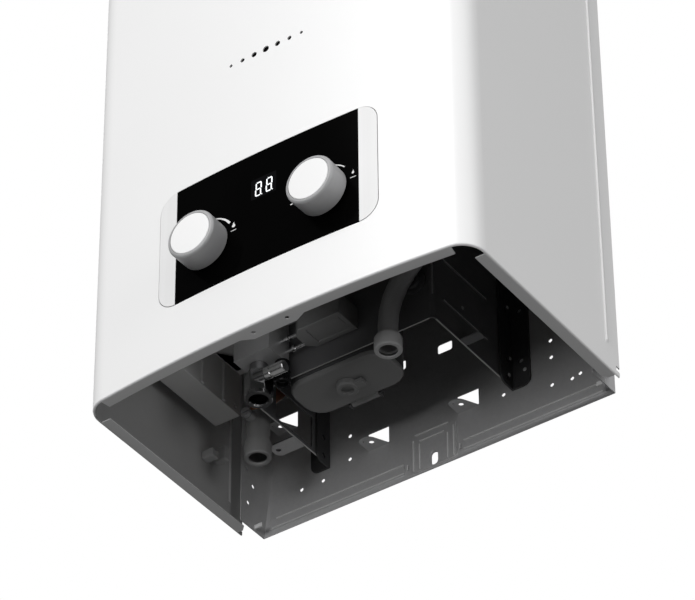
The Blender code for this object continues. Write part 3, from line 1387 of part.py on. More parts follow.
def gas_inlet():
    """Hex inlet fitting with its open ring, and the chrome test port and plug beside it."""
    ring_top = GAS_INLET_BOTTOM + GAS_RING_HEIGHT
    place = (GAS_INLET_X, GAS_INLET_Y, 0.0)
    ring = [
        (GAS_BORE_RADIUS, GAS_INLET_BOTTOM), (GAS_RING_RADIUS, GAS_INLET_BOTTOM),
        (GAS_RING_RADIUS, ring_top),
        (GAS_NECK_RADIUS + CLEAR, ring_top), (GAS_NECK_RADIUS + CLEAR, GAS_BLOCK_BOTTOM - CLEAR),
        (CLEAR, GAS_BLOCK_BOTTOM - CLEAR), (CLEAR, GAS_INLET_BOTTOM + GAS_BORE_DEPTH),
        (GAS_BORE_RADIUS, GAS_INLET_BOTTOM + GAS_BORE_DEPTH),
    ]
    body = turned(ring, place, "Z", 20)
    loops = [circle(GAS_INLET_X, GAS_INLET_Y, GAS_HEX_RADIUS, 6)]
    loops.append(circle(GAS_INLET_X, GAS_INLET_Y, GAS_NECK_RADIUS, 20))
    hexagon = prism(loops, "Z", ring_top - CLEAR, ring_top + GAS_HEX_HEIGHT)
    boss = rod(PORT_BOSS_RADIUS, (GAS_INLET_X, PORT_Y, PORT_Z), "X", PORT_LEFT - CLEAR - GAS_INLET_X, 12)
    body = united(body, hexagon)
    inner = rod(GAS_NECK_RADIUS, (GAS_INLET_X, GAS_INLET_Y, ring_top), "Z", GAS_HEX_HEIGHT, 20)
    add("gas_inlet_fitting", united(body, cut(boss, inner)), "brass")
    cap = [
        (0, 0), (PORT_RADIUS, 0), (PORT_RADIUS, PORT_LENGTH - CLEAR), (PORT_RADIUS - CLEAR, PORT_LENGTH),
        (0, PORT_LENGTH),
    ]
    origin = (PORT_LEFT, PORT_Y, PORT_Z)
    add("test_port_cap", turned(cap, origin, "X", 20), "chrome", origin)
    top = GAS_BLOCK_BOTTOM - CLEAR - PLUG_BOTTOM
    plug = [
        (0, PLUG_SOCKET), (PLUG_SOCKET, PLUG_SOCKET), (PLUG_SOCKET, 0), (PLUG_RADIUS, 0), (PLUG_RADIUS, top),
        (0, top),
    ]
    origin = (PLUG_X, PLUG_Y, PLUG_BOTTOM)
    add("strainer_plug", turned(plug, origin, "Z", 16), "dark_steel", origin)


def water_valve():
    """Water valve body with its bosses, and the diaphragm cover beside it."""
    bore = ROD_RADIUS + ROD_BORE_GAP
    depth = WATER_COVER_LENGTH
    neck = [(bore, 0), (WATER_BARREL_RADIUS, 0), (WATER_RADIUS, depth / 2)]
    neck += [(WATER_RADIUS, depth), (bore, depth)]
    add("diaphragm_cover", turned(neck, (WATER_CLEAR_X, VALVE_Y, KNOB_Z), "X", 20), "brass")
    start = WATER_CLEAR_X + depth + CLEAR
    end = WATER_FLANGE + WATER_BARREL_LENGTH
    profile = [
        (0, 0), (WATER_RADIUS, 0), (WATER_RADIUS, WATER_FLANGE), (WATER_BARREL_RADIUS, WATER_FLANGE),
        (WATER_BARREL_RADIUS, end), (0, end),
    ]
    body = turned(profile, (start, VALVE_Y, KNOB_Z), "X", 20)
    x = KNOB_SPACING / 2
    gland = rod(WATER_BOSS_RADIUS, (x, VALVE_Y, KNOB_Z), "Y", WATER_RADIUS, 14, -1)
    inlet = rod(WATER_BOSS_RADIUS, (x, VALVE_Y, KNOB_Z), "Z", WATER_RADIUS, 14)
    seat = VALVE_Y - WATER_BARREL_RADIUS / 2
    hole = rod(SPINDLE_RADIUS + CLEAR, (x, seat, KNOB_Z), "Y", WATER_RADIUS, 10, -1)
    add("water_valve_body", cut(united(body, gland, inlet), hole), "brass")


def linkage():
    """Push rod between the two valves, the microswitch beside its collar and the switch's button."""
    left = GAS_BODY_RIGHT - ROD_ENTRY - COLLAR_X
    right = WATER_CLEAR_X + WATER_COVER_LENGTH - CLEAR - COLLAR_X
    profile = [
        (0, left), (ROD_RADIUS, left), (ROD_RADIUS, 0), (COLLAR_RADIUS, 0),
        (COLLAR_RADIUS, COLLAR_THICKNESS),
        (ROD_RADIUS, COLLAR_THICKNESS), (ROD_RADIUS, right), (0, right),
    ]
    origin = (COLLAR_X, VALVE_Y, KNOB_Z)
    add("push_rod", turned(profile, origin, "X", 12), "steel", origin)
    tip = COLLAR_X - CLEAR
    face = tip - SWITCH_BUTTON_REACH
    low = KNOB_Z + SWITCH_LIFT
    centre_z = low + SWITCH_BUTTON_RADIUS * 2
    top = low + SWITCH_HEIGHT
    near, far = VALVE_Y - SWITCH_WIDTH / 2, VALVE_Y + SWITCH_WIDTH / 2
    body = block((face - SWITCH_LENGTH, near, low), (face, far, top))
    arm = block((GAS_BODY_RIGHT + CLEAR, near, top - SWITCH_ARM), (face - CLEAR, far, top))
    bottom = (face - SWITCH_BORE_DEPTH, VALVE_Y, centre_z)
    hole = rod(SWITCH_BUTTON_RADIUS + CLEAR, bottom, "X", SWITCH_BORE_DEPTH + OVERRUN, 8)
    add("microswitch", cut(united(body, arm), hole), "dark_plastic")
    start = face - SWITCH_BORE_DEPTH + ROD_STROKE + CLEAR
    origin = (start, VALVE_Y, centre_z)
    add("switch_button", rod(SWITCH_BUTTON_RADIUS, origin, "X", tip - start, 8), "red", origin)


# Water fittings and pipes

def cold_inlet():
    """Cold fitting with its open lower end, and the drain screw in its front."""
    step = COLD_BOTTOM + COLD_STEP_HEIGHT
    top = step + COLD_NECK_HEIGHT
    profile = [
        (COLD_BORE, COLD_BOTTOM), (COLD_RADIUS, COLD_BOTTOM), (COLD_RADIUS, step), (COLD_NECK_RADIUS, step),
        (COLD_NECK_RADIUS, top), (CLEAR, top), (CLEAR, step - CLEAR), (COLD_BORE, step - CLEAR),
    ]
    body = turned(profile, (COLD_X, COLD_Y, 0.0), "Z", 20)
    z = top - DRAIN_DROP
    start = COLD_Y - COLD_NECK_RADIUS + DRAIN_SEAT
    boss = rod(DRAIN_HEAD_RADIUS, (COLD_X, start, z), "Y", 2 * DRAIN_SEAT, 12, -1)
    hole = rod(DRAIN_RADIUS + CLEAR, (COLD_X, start, z), "Y", 2 * DRAIN_SEAT + OVERRUN, 10, -1)
    add("cold_inlet_fitting", cut(united(body, boss), hole), "brass")
    face = start - 2 * DRAIN_SEAT - CLEAR
    screw = [
        (0, -DRAIN_SEAT), (DRAIN_RADIUS, -DRAIN_SEAT), (DRAIN_RADIUS, 0), (DRAIN_HEAD_RADIUS, 0),
        (DRAIN_HEAD_RADIUS, DRAIN_HEAD), (0, DRAIN_HEAD),
    ]
    origin = (COLD_X, face, z)
    body = turned(screw, origin, "Y", 12, -1)
    slot = block(
        (COLD_X - DRAIN_HEAD_RADIUS - OVERRUN, face - DRAIN_HEAD - OVERRUN, z - CLEAR * 2),
        (COLD_X + DRAIN_HEAD_RADIUS + OVERRUN, face - DRAIN_HEAD / 2, z + CLEAR * 2),
    )
    add("drain_screw", cut(body, slot), "brass", origin)


def cold_pipes():
    """Cold pipe from the inlet to the water valve and the riser from there to the exchanger."""
    top = COLD_BOTTOM + COLD_STEP_HEIGHT + COLD_NECK_HEIGHT + CLEAR
    x = KNOB_SPACING / 2
    corners = [
        (COLD_X, COLD_Y, top), (COLD_X, COLD_Y, top + COLD_OFFSET_START),
        (COLD_RUN_X, COLD_RUN_Y, top + COLD_OFFSET_START + COLD_OFFSET_RISE),
        (COLD_RUN_X, COLD_RUN_Y, CHASSIS_TOP), (COLD_RUN_X, VALVE_Y, CHASSIS_TOP), (x, VALVE_Y, CHASSIS_TOP),
        (x, VALVE_Y, KNOB_Z + WATER_RADIUS + CLEAR),
    ]
    add("cold_pipe", sweep(rounded_route(corners, PIPE_BEND), WATER_PIPE_RADIUS, 10), "copper")
    start = WATER_CLEAR_X + WATER_COVER_LENGTH + WATER_FLANGE + WATER_BARREL_LENGTH + 2 * CLEAR
    end = COIL_START - 2 * COIL_BEND - CLEAR
    turn = start + PIPE_BEND + PIPE_STRAIGHT
    middle = (KNOB_Z + end) / 2
    corners = [
        (start, VALVE_Y, KNOB_Z), (turn, VALVE_Y, KNOB_Z), (turn, VALVE_Y, middle),
        (COIL_RIGHT, COIL_FRONT, middle), (COIL_RIGHT, COIL_FRONT, end),
    ]
    add("cold_riser", sweep(rounded_route(corners, PIPE_BEND), WATER_PIPE_RADIUS, 10), "copper")


def hot_outlet():
    """Hot pipe from the exchanger to its open lower end, and the union nut that turns on it."""
    last = pass_places()[-1]
    seat = NUT_BOTTOM + NUT_LIP
    corners = [
        (NUT_X, NUT_Y, seat + CLEAR), (NUT_X, NUT_Y, HOT_LEAN_Z), (HOT_SIDE_X - CLEAR, NUT_Y, HOT_CROSS_Z),
        (HOT_SIDE_X, last, HOT_RISE_Z), (HOT_SIDE_X, last, PASS_Z - HOT_DROP - CLEAR),
    ]
    route = rounded_route(corners[:3], HOT_BEND, 5)[:-1]
    route += rounded_route(corners[1:], HOT_SIDE_BEND, 4)[1:]
    add("hot_outlet_pipe", sweep(route, HOT_RADIUS, 10, HOT_RADIUS - HOT_WALL), "satin")
    clear_bore = HOT_RADIUS + CLEAR
    profile = [
        (NUT_BORE, 0), (NUT_RADIUS - NUT_ROUND, 0), (NUT_RADIUS, NUT_ROUND),
        (NUT_RADIUS, NUT_HEIGHT - 2 * NUT_ROUND), (NUT_RADIUS - 2 * NUT_ROUND, NUT_HEIGHT),
        (clear_bore, NUT_HEIGHT), (clear_bore, NUT_LIP), (NUT_BORE, NUT_LIP),
    ]
    origin = (NUT_X, NUT_Y, NUT_BOTTOM)
    add("hot_outlet_nut", turned(profile, origin, "Z", 24), "plastic", origin)


# Battery box

def box_loop(inset):
    """Plan of the battery box, moved inwards by inset."""
    half = BATTERY_BOX_WIDTH / 2 - inset
    deep = BATTERY_BOX_DEPTH / 2 - inset
    radius = BATTERY_BOX_CORNER - inset
    return rounded(BATTERY_X - half, BATTERY_X + half, BATTERY_Y - deep, BATTERY_Y + deep, radius, 4)


def battery_box():
    """Box open below, with the pad that carries it on the chassis and the two ears of its hinge."""
    ceiling = BOX_TOP + CLEAR
    body = prism([box_loop(0.0)], "Z", BATTERY_BOX_BOTTOM, ceiling + BATTERY_BOX_WALL)
    body = cut(body, prism([box_loop(BATTERY_BOX_WALL)], "Z", BATTERY_BOX_BOTTOM - OVERRUN, ceiling))
    front = BATTERY_Y - BATTERY_BOX_DEPTH / 2
    rear = BATTERY_Y + BATTERY_BOX_DEPTH / 2
    pad = block(
        (BATTERY_X - BATTERY_RADIUS, CHASSIS_FRONT + CHASSIS_SHEET + CLEAR, ceiling - BATTERY_RADIUS),
        (BATTERY_X + BATTERY_RADIUS, front + BATTERY_BOX_WALL / 2, ceiling),
    )
    pin_y, pin_z = rear + HINGE_OFFSET, BATTERY_BOX_BOTTOM - HINGE_DROP
    ears = []
    for side in (-1, 1):
        edges = sorted((side * HINGE_HALF, side * (HINGE_HALF + HINGE_EAR)))
        ears.append(block(
            (BATTERY_X + edges[0], rear - BATTERY_BOX_WALL / 2, BATTERY_BOX_BOTTOM),
            (BATTERY_X + edges[1], pin_y + HINGE_RADIUS, BATTERY_BOX_BOTTOM + 2 * HINGE_DROP),
        ))
        ears.append(block(
            (BATTERY_X + edges[0], pin_y - HINGE_RADIUS, pin_z - HINGE_RADIUS),
            (BATTERY_X + edges[1], pin_y + HINGE_RADIUS, BATTERY_BOX_BOTTOM + HINGE_DROP),
        ))
    pin_start = (BATTERY_X - HINGE_HALF - HINGE_EAR / 2, pin_y, pin_z)
    pin = rod(HINGE_PIN, pin_start, "X", 2 * HINGE_HALF + HINGE_EAR, 10)
    add("battery_box", united(body, pad, *ears, pin), "plastic")


def battery_lid():
    """Lid with a rounded lower edge, its hinge knuckle and the hole for the latch."""
    top = BATTERY_BOX_BOTTOM - CLEAR
    low = top - LID_THICKNESS
    origin = (BATTERY_X, BATTERY_Y + BATTERY_BOX_DEPTH / 2 + HINGE_OFFSET, BATTERY_BOX_BOTTOM - HINGE_DROP)
    mesh = bmesh.new()
    rings = []
    third = LID_ROUND / 3
    for inset, z in ((0.0, top), (0.0, low + LID_ROUND), (third, low + third), (LID_ROUND, low)):
        rings.append([mesh.verts.new((x, y, z)) for x, y in box_loop(inset)])
    count = len(rings[0])
    for a, b in zip(rings, rings[1:]):
        for i in range(count):
            j = (i + 1) % count
            mesh.faces.new((a[i], a[j], b[j], b[i]))
    mesh.faces.new(rings[0])
    mesh.faces.new(rings[-1])
    bmesh.ops.recalc_face_normals(mesh, faces=mesh.faces)
    width = 2 * (HINGE_HALF - CLEAR)
    start = (BATTERY_X - HINGE_HALF + CLEAR, origin[1], origin[2])
    knuckle = rod(HINGE_RADIUS, start, "X", width, 12)
    web = block(
        (start[0], BATTERY_Y + BATTERY_BOX_DEPTH / 2 - LID_ROUND, origin[2] - HINGE_PIN),
        (start[0] + width, origin[1], origin[2] + HINGE_PIN),
    )
    bore = rod(HINGE_PIN + CLEAR, (start[0] - OVERRUN, origin[1], origin[2]), "X", width + 2 * OVERRUN, 10)
    foot = (BATTERY_X, BATTERY_Y, low - OVERRUN)
    hole = rod(LATCH_STEM_RADIUS + CLEAR, foot, "Z", LID_THICKNESS + 2 * OVERRUN, 16)
    add("battery_lid", cut(united(mesh, knuckle, web), bore, hole), "plastic", origin)


def lid_latch():
    """Twist latch: hub with a finger hole and a wing below the lid, stem and keeper disc above."""
    low = BATTERY_BOX_BOTTOM - CLEAR - LID_THICKNESS - CLEAR
    top = BATTERY_BOX_BOTTOM
    profile = [
        (0, low - LATCH_HEIGHT / 3), (LATCH_HOLE, low - LATCH_HEIGHT / 3), (LATCH_HOLE, low - LATCH_HEIGHT),
        (LATCH_RADIUS - LATCH_ROUND, low - LATCH_HEIGHT), (LATCH_RADIUS, low - LATCH_HEIGHT + LATCH_ROUND),
        (LATCH_RADIUS, low), (LATCH_STEM_RADIUS, low), (LATCH_STEM_RADIUS, top), (LATCH_KEEPER, top),
        (LATCH_KEEPER, top + LATCH_ROUND), (0, top + LATCH_ROUND),
    ]
    origin = (BATTERY_X, BATTERY_Y, low)
    body = turned([(r, h - low) for r, h in profile], origin, "Z", 20)
    half = LATCH_WING_WIDTH / 2
    start = BATTERY_X + (LATCH_HOLE + LATCH_RADIUS) / 2
    wing = block(
        (start, BATTERY_Y - half, low - LATCH_HEIGHT + LATCH_ROUND / 2),
        (BATTERY_X + LATCH_WING_REACH, BATTERY_Y + half, low - LATCH_HEIGHT / 4),
    )
    add("lid_latch", united(body, wing), "plastic", origin)


def batteries():
    """Two large round cells standing in the box."""
    low = BATTERY_BOX_BOTTOM + BATTERY_SEAT
    high = low + BATTERY_LENGTH
    profile = [
        (0, low), (BATTERY_RADIUS, low), (BATTERY_RADIUS, high), (BATTERY_NUB, high),
        (BATTERY_NUB, high + BATTERY_NUB_HEIGHT), (0, high + BATTERY_NUB_HEIGHT),
    ]
    offset = BATTERY_RADIUS + CLEAR
    for side, name in ((-1, "left"), (1, "right")):
        centre = (BATTERY_X + side * offset, BATTERY_Y, 0.0)
        add(name + "_battery", turned(profile, centre, "Z", 18), "black")


# Electrical boxes

def igniter_box():
    """Spark igniter on the chassis front, with a recessed panel underneath."""
    rear = CHASSIS_FRONT - CLEAR
    front = rear - IGNITER_DEPTH
    cham = IGNITER_CHAMFER
    outline = [
        (IGNITER_LEFT + cham, rear), (IGNITER_LEFT, rear - cham), (IGNITER_LEFT, front + cham),
        (IGNITER_LEFT + cham, front), (IGNITER_RIGHT, front), (IGNITER_RIGHT, rear),
    ]
    body = prism([outline], "Z", IGNITER_BOTTOM, IGNITER_BOTTOM + IGNITER_HEIGHT)
    rim = IGNITER_RIM
    recess = block(
        (IGNITER_LEFT + cham + rim, front + rim, IGNITER_BOTTOM - OVERRUN),
        (IGNITER_RIGHT - rim, rear - rim, IGNITER_BOTTOM + IGNITER_RECESS),
    )
    add("igniter_box", cut(body, recess), "dark_plastic")


def control_box():
    """Stepped control housing beside the left wall, ribbed on its inner side."""
    lower_top = (CONTROL_STEP_X, CONTROL_REAR, CONTROL_STEP_Z + OVERRUN)
    lower = block((CONTROL_LEFT, CONTROL_FRONT, CONTROL_BOTTOM), lower_top)
    upper_top = (CONTROL_RIGHT, CONTROL_REAR, CONTROL_TOP)
    upper = block((CONTROL_LEFT, CONTROL_UPPER_FRONT, CONTROL_STEP_Z), upper_top)
    ribs = []
    depth = CONTROL_REAR - CONTROL_FRONT
    rise = CONTROL_RIB_RISE
    for share in CONTROL_RIB_SHARES:
        near = CONTROL_FRONT + share * depth
        low = (CONTROL_STEP_X - rise, near, CONTROL_BOTTOM + rise)
        ribs.append(block(low, (CONTROL_STEP_X + rise, near + CONTROL_RIB_WIDTH, CONTROL_STEP_Z - rise)))
    recess = block(
        (CONTROL_STEP_X + rise, CONTROL_UPPER_FRONT + CONTROL_RIM, CONTROL_STEP_Z - OVERRUN),
        (CONTROL_RIGHT - rise, CONTROL_REAR - CONTROL_RIM, CONTROL_STEP_Z + CONTROL_RECESS),
    )
    screw = (CONTROL_STEP_X - OVERRUN, CONTROL_REAR - CONTROL_RIM, CONTROL_BOTTOM + CONTROL_RIM)
    hole = rod(HOLE_RADIUS, screw, "X", 2 * OVERRUN, 8)
    add("control_box", cut(united(lower, upper, *ribs), recess, hole), "plastic")


def control_bracket():
    """Sheet arm that carries the control housing on the back plate."""
    rear = -PLATE_SHEET - CLEAR
    front = CONTROL_REAR + CLEAR
    web = block((ARM_X - ARM_SHEET, front, ARM_BOTTOM), (ARM_X, rear, ARM_TOP))
    feet = [
        block((ARM_X - ARM_FOOT, y, ARM_BOTTOM), (ARM_X - ARM_SHEET / 2, y + ARM_SHEET, ARM_TOP))
        for y in (front, rear - ARM_SHEET)
    ]
    add("control_bracket", united(web, *feet), "zinc")


def leads():
    """Spark lead and sensor lead to the electrodes, and the display's lead to the control housing."""
    side = CHASSIS_FRONT - ELECTRODE_OUTSIDE - CLEAR
    rise = IGNITER_BOTTOM + IGNITER_HEIGHT + CLEAR
    x = IGNITER_LEFT + LEAD_STAND
    near = side - LEAD_STAND
    corners = [
        (x, near, rise), (x, near, ELECTRODE_Z - 2 * LEAD_STAND), (ELECTRODE_X, near, ELECTRODE_Z),
        (ELECTRODE_X, side, ELECTRODE_Z),
    ]
    add("ignition_lead", sweep(rounded_route(corners, LEAD_BEND), LEAD_RADIUS, 8), "black")
    front = CONTROL_UPPER_FRONT - CLEAR
    box_x = (CONTROL_LEFT + CONTROL_RIGHT) / 2
    entry = CONTROL_TOP - 2 * LEAD_STAND
    corners = [
        (SENSOR_X, side, ELECTRODE_Z), (SENSOR_X, side - 2 * LEAD_STAND, ELECTRODE_Z),
        (box_x, front - 3 * LEAD_STAND, entry), (box_x, front, entry),
    ]
    add("sensor_lead", sweep(rounded_route(corners, LEAD_BEND), LEAD_RADIUS, 8), "black")
    board_y = front_y(DISPLAY_WIDTH / 2, COVER_SHEET + 3 * CLEAR) + MODULE_DEPTH + BOARD_THICKNESS
    start_x = -BOARD_WIDTH / 2 + 2 * PANEL_FLANGE
    level = PANEL_Z + 2 * LEAD_STAND
    corners = [
        (start_x, board_y, level), (start_x, board_y + LEAD_STAND, level),
        (box_x, front - LEAD_STAND, level),
        (box_x, front, level),
    ]
    add("display_harness", sweep(rounded_route(corners, LEAD_BEND), LEAD_RADIUS, 8), "black")


# Order of building

def clear_scene():
    """Remove whatever the scene holds and set the frame that every piece hangs on."""
    for item in list(bpy.data.objects):
        bpy.data.objects.remove(item, do_unlink=True)
    frame = bpy.data.objects.new("heater_frame", None)
    frame.location = (0.0, 0.0, -HANG_HEIGHT)
    bpy.context.scene.collection.objects.link(frame)


def main():
    """Build every piece."""
    clear_scene()
    front_cover()
    back_plate()
    panel_frame()
    panel_glass()
    display()
    knob(-1, "left", VALVE_Y - GAS_BODY_DEPTH / 2 + CLEAR)
    knob(1, "right", VALVE_Y - WATER_BARREL_RADIUS / 2 - CLEAR)
    bush(-1, "left")
    bush(1, "right")
    flame_window()
    chassis()
    bracket("left_bracket", CHASSIS_LEFT + CHASSIS_SHEET + CLEAR + BRACKET_SHEET, -1)
    bracket("right_bracket", CHASSIS_RIGHT + CLEAR, 1)
    burner()
    manifold()
    gas_pipe()
    chamber()
    fins()
    exchanger_tube()
    hood()
    flue_collar()
    electrode("ignition_electrode", ELECTRODE_X)
    electrode("flame_sensor", SENSOR_X)
    thermostat()
    gas_valve()
    gas_inlet()
    water_valve()
    linkage()
    cold_inlet()
    cold_pipes()
    hot_outlet()
    battery_box()
    battery_lid()
    lid_latch()
    batteries()
    igniter_box()
    control_box()
    control_bracket()
    leads()


main()
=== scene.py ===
"""Looks of a wall-hung tankless gas water heater, built round its solid model."""

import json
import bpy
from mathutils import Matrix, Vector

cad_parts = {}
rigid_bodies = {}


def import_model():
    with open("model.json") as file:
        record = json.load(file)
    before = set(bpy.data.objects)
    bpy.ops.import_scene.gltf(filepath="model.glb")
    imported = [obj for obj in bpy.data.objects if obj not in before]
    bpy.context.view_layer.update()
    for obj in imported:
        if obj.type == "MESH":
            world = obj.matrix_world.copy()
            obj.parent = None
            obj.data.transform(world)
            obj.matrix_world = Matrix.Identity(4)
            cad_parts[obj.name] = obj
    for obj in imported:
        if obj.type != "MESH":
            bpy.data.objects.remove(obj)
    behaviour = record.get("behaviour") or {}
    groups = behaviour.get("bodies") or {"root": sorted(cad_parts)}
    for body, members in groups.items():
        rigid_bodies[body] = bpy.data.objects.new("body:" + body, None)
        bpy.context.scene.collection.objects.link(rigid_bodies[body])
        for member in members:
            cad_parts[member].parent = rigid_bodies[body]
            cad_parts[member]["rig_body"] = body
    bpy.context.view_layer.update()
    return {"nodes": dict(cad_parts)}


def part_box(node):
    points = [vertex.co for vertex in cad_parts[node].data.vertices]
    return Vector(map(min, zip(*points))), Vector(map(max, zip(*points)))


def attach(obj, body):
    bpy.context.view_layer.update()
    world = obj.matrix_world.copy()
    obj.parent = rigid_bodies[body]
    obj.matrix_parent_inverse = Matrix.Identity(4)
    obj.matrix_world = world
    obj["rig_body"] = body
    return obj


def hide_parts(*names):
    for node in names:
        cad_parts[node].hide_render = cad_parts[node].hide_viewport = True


bl_info = {
    "name": "Tankless Water Heater",
    "version": (1, 0, 0),
    "blender": (4, 5, 0),
    "location": "View3D > Sidebar > Heater",
    "description": "Builds the casing, panel, knobs, valves and pipes of a wall-hung gas water heater",
    "category": "Object",
}

from math import atan2, cos, pi, radians, sin, tan

import bmesh
import bpy
from bpy.props import FloatProperty, FloatVectorProperty, IntProperty, PointerProperty
from mathutils import Matrix, Vector

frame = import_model()
NODES = frame["nodes"]

X, Y, Z = Vector((1, 0, 0)), Vector((0, 1, 0)), Vector((0, 0, 1))
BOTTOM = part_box("front_cover")[0].z
# Distance at which points count as one place, and the one at which they are merged
TOUCH, MERGE = 2e-5, 1e-6
# Least share of a direction that a picked face looks in, or that a picked edge runs along
FACING, ALONG = 0.7, 0.99
# Largest turn of one step in a bend, in radians
BEND_STEP = 0.2


def length(name, description, default):
    """A length that a user may change."""
    return FloatProperty(name=name, description=description, default=default, unit="LENGTH", precision=4)


def colour(name, description, default):
    """A colour that a user may change."""
    return FloatVectorProperty(
        name=name, description=description, default=default, subtype="COLOR", size=3, min=0, max=1
    )


class HeaterSizes(bpy.types.PropertyGroup):
    """Sizes of the visible pieces, in metres."""

    width: length("Casing width", "Width of the cover without its side beads", 0.330)
    height: length("Casing height", "Height of the cover", 0.550)
    depth: length("Casing depth", "Depth of the cover's sides up to the front corners", 0.192)
    wall_gap: length("Wall gap", "Distance from the wall to the cover's rear edge", 0.0121)
    bow: length("Front bow", "How far the middle of the front stands out", 0.0077)
    corner: length("Corner radius", "Radius of the cover's upright front corners", 0.0199)
    sheet: length("Cover sheet", "Thickness of the cover's sheet", 0.001)
    fold: length("Fold radius", "Radius of the cover's folded edges", 0.0016)
    lip: length("Lip width", "Width of the lip under the cover", 0.0095)
    bead: length("Bead rise", "How far the side bead stands out", 0.0011)
    panel_width: length("Panel width", "Width of the control panel", 0.189)
    panel_height: length("Panel height", "Height of the control panel", 0.1033)
    panel_bottom: length("Panel bottom", "Height of the panel above the casing's lower edge", 0.0512)
    panel_corner: length("Panel corner", "Corner radius of the control panel", 0.015)
    glass_width: length("Glass width", "Width of the black glass", 0.1586)
    knob_radius: length("Knob radius", "Radius of a knob at its rim", 0.020)
    knob_round: length("Knob rim", "Rounding of a knob's rim", 0.0024)
    digit_height: length("Digit height", "Height of the two digits", 0.0116)
    edge_round: length("Edge round", "Rounding of folded sheet edges inside the casing", 0.0004)
    round_count: IntProperty(
        name="Round count", description="Sides of a turned piece", default=48, min=12, max=96
    )


class HeaterColours(bpy.types.PropertyGroup):
    """Colours of the finishes."""

    enamel: colour("Enamel", "White of the cover and the knob faces", (0.86, 0.86, 0.86))
    silver: colour("Panel ends", "Silver-white of the panel's ends", (0.77, 0.77, 0.77))
    glass: colour("Panel glass", "Black of the panel", (0.001, 0.001, 0.001))
    print_white: colour("Printed marks", "White of the printed marks", (0.75, 0.75, 0.75))
    digit: colour("Digits", "Glow of the digits", (0.9, 0.93, 0.95))
    skirt: colour("Knob skirt", "Grey of the knobs", (0.35, 0.35, 0.355))
    zinc: colour("Zinc sheet", "Galvanised sheet of the back plate", (0.55, 0.55, 0.555))
    dark_sheet: colour("Dark sheet", "Sheet of the chassis", (0.145, 0.145, 0.15))
    black: colour("Black paint", "Paint of the brackets", (0.050, 0.050, 0.052))
    plastic: colour("Grey plastic", "Mouldings inside the casing", (0.56, 0.56, 0.555))
    dark_plastic: colour("Dark plastic", "Dark mouldings inside the casing", (0.085, 0.085, 0.087))
    brass: colour("Brass", "Turned and cast brass", (0.62, 0.47, 0.22))
    copper: colour("Copper", "Pipes and heat exchanger", (0.62, 0.29, 0.16))
    steel: colour("Steel", "Bright steel", (0.55, 0.55, 0.56))
    floor: colour("Floor", "Grey floor", (0.30, 0.30, 0.30))


# Places

def mm(*rows):
    """Rows of numbers in millimetres as rows in metres."""
    return [tuple(part / 1000 for part in row) for row in rows]


def spot(x, y, z):
    """Point given in millimetres from the wall and the casing's lower edge."""
    return Vector((x / 1000, y / 1000, BOTTOM + z / 1000))


def middle_of(node):
    """Middle of a node's box."""
    low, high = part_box(node)
    return (low + high) / 2


def front_y(x, inset=0.0):
    """Depth of the bowed front at x, moved back by an inset."""
    sizes = bpy.context.scene.heater_sizes
    share = min(abs(x) / (sizes.width / 2 - sizes.corner), 1.0)
    return -sizes.wall_gap - sizes.depth - sizes.bow * (1 - share ** 2) + inset


# Working with meshes

def free_hands():
    """Leave edit mode and deselect everything."""
    if bpy.context.object and bpy.context.object.mode != "OBJECT":
        bpy.ops.object.mode_set(mode="OBJECT")
    bpy.ops.object.select_all(action="DESELECT")


def take(*pieces):
    """Select only these pieces and make the first one active."""
    free_hands()
    for piece in pieces:
        piece.select_set(True)
    bpy.context.view_layer.objects.active = pieces[0]


def named(piece, name):
    """Name a piece and its mesh."""
    piece.name = piece.data.name = name
    return piece


def duplicated(piece):
    """Copy of a piece with its own mesh."""
    take(piece)
    bpy.ops.object.duplicate()
    return bpy.context.object


def finished(piece, kind, **settings):
    """Add a modifier with its settings and apply it."""
    take(piece)
    bpy.ops.object.modifier_add(type=kind)
    modifier = piece.modifiers[-1]
    for key, value in settings.items():
        setattr(modifier, key, value)
    bpy.ops.object.modifier_apply(modifier=modifier.name)
    return piece


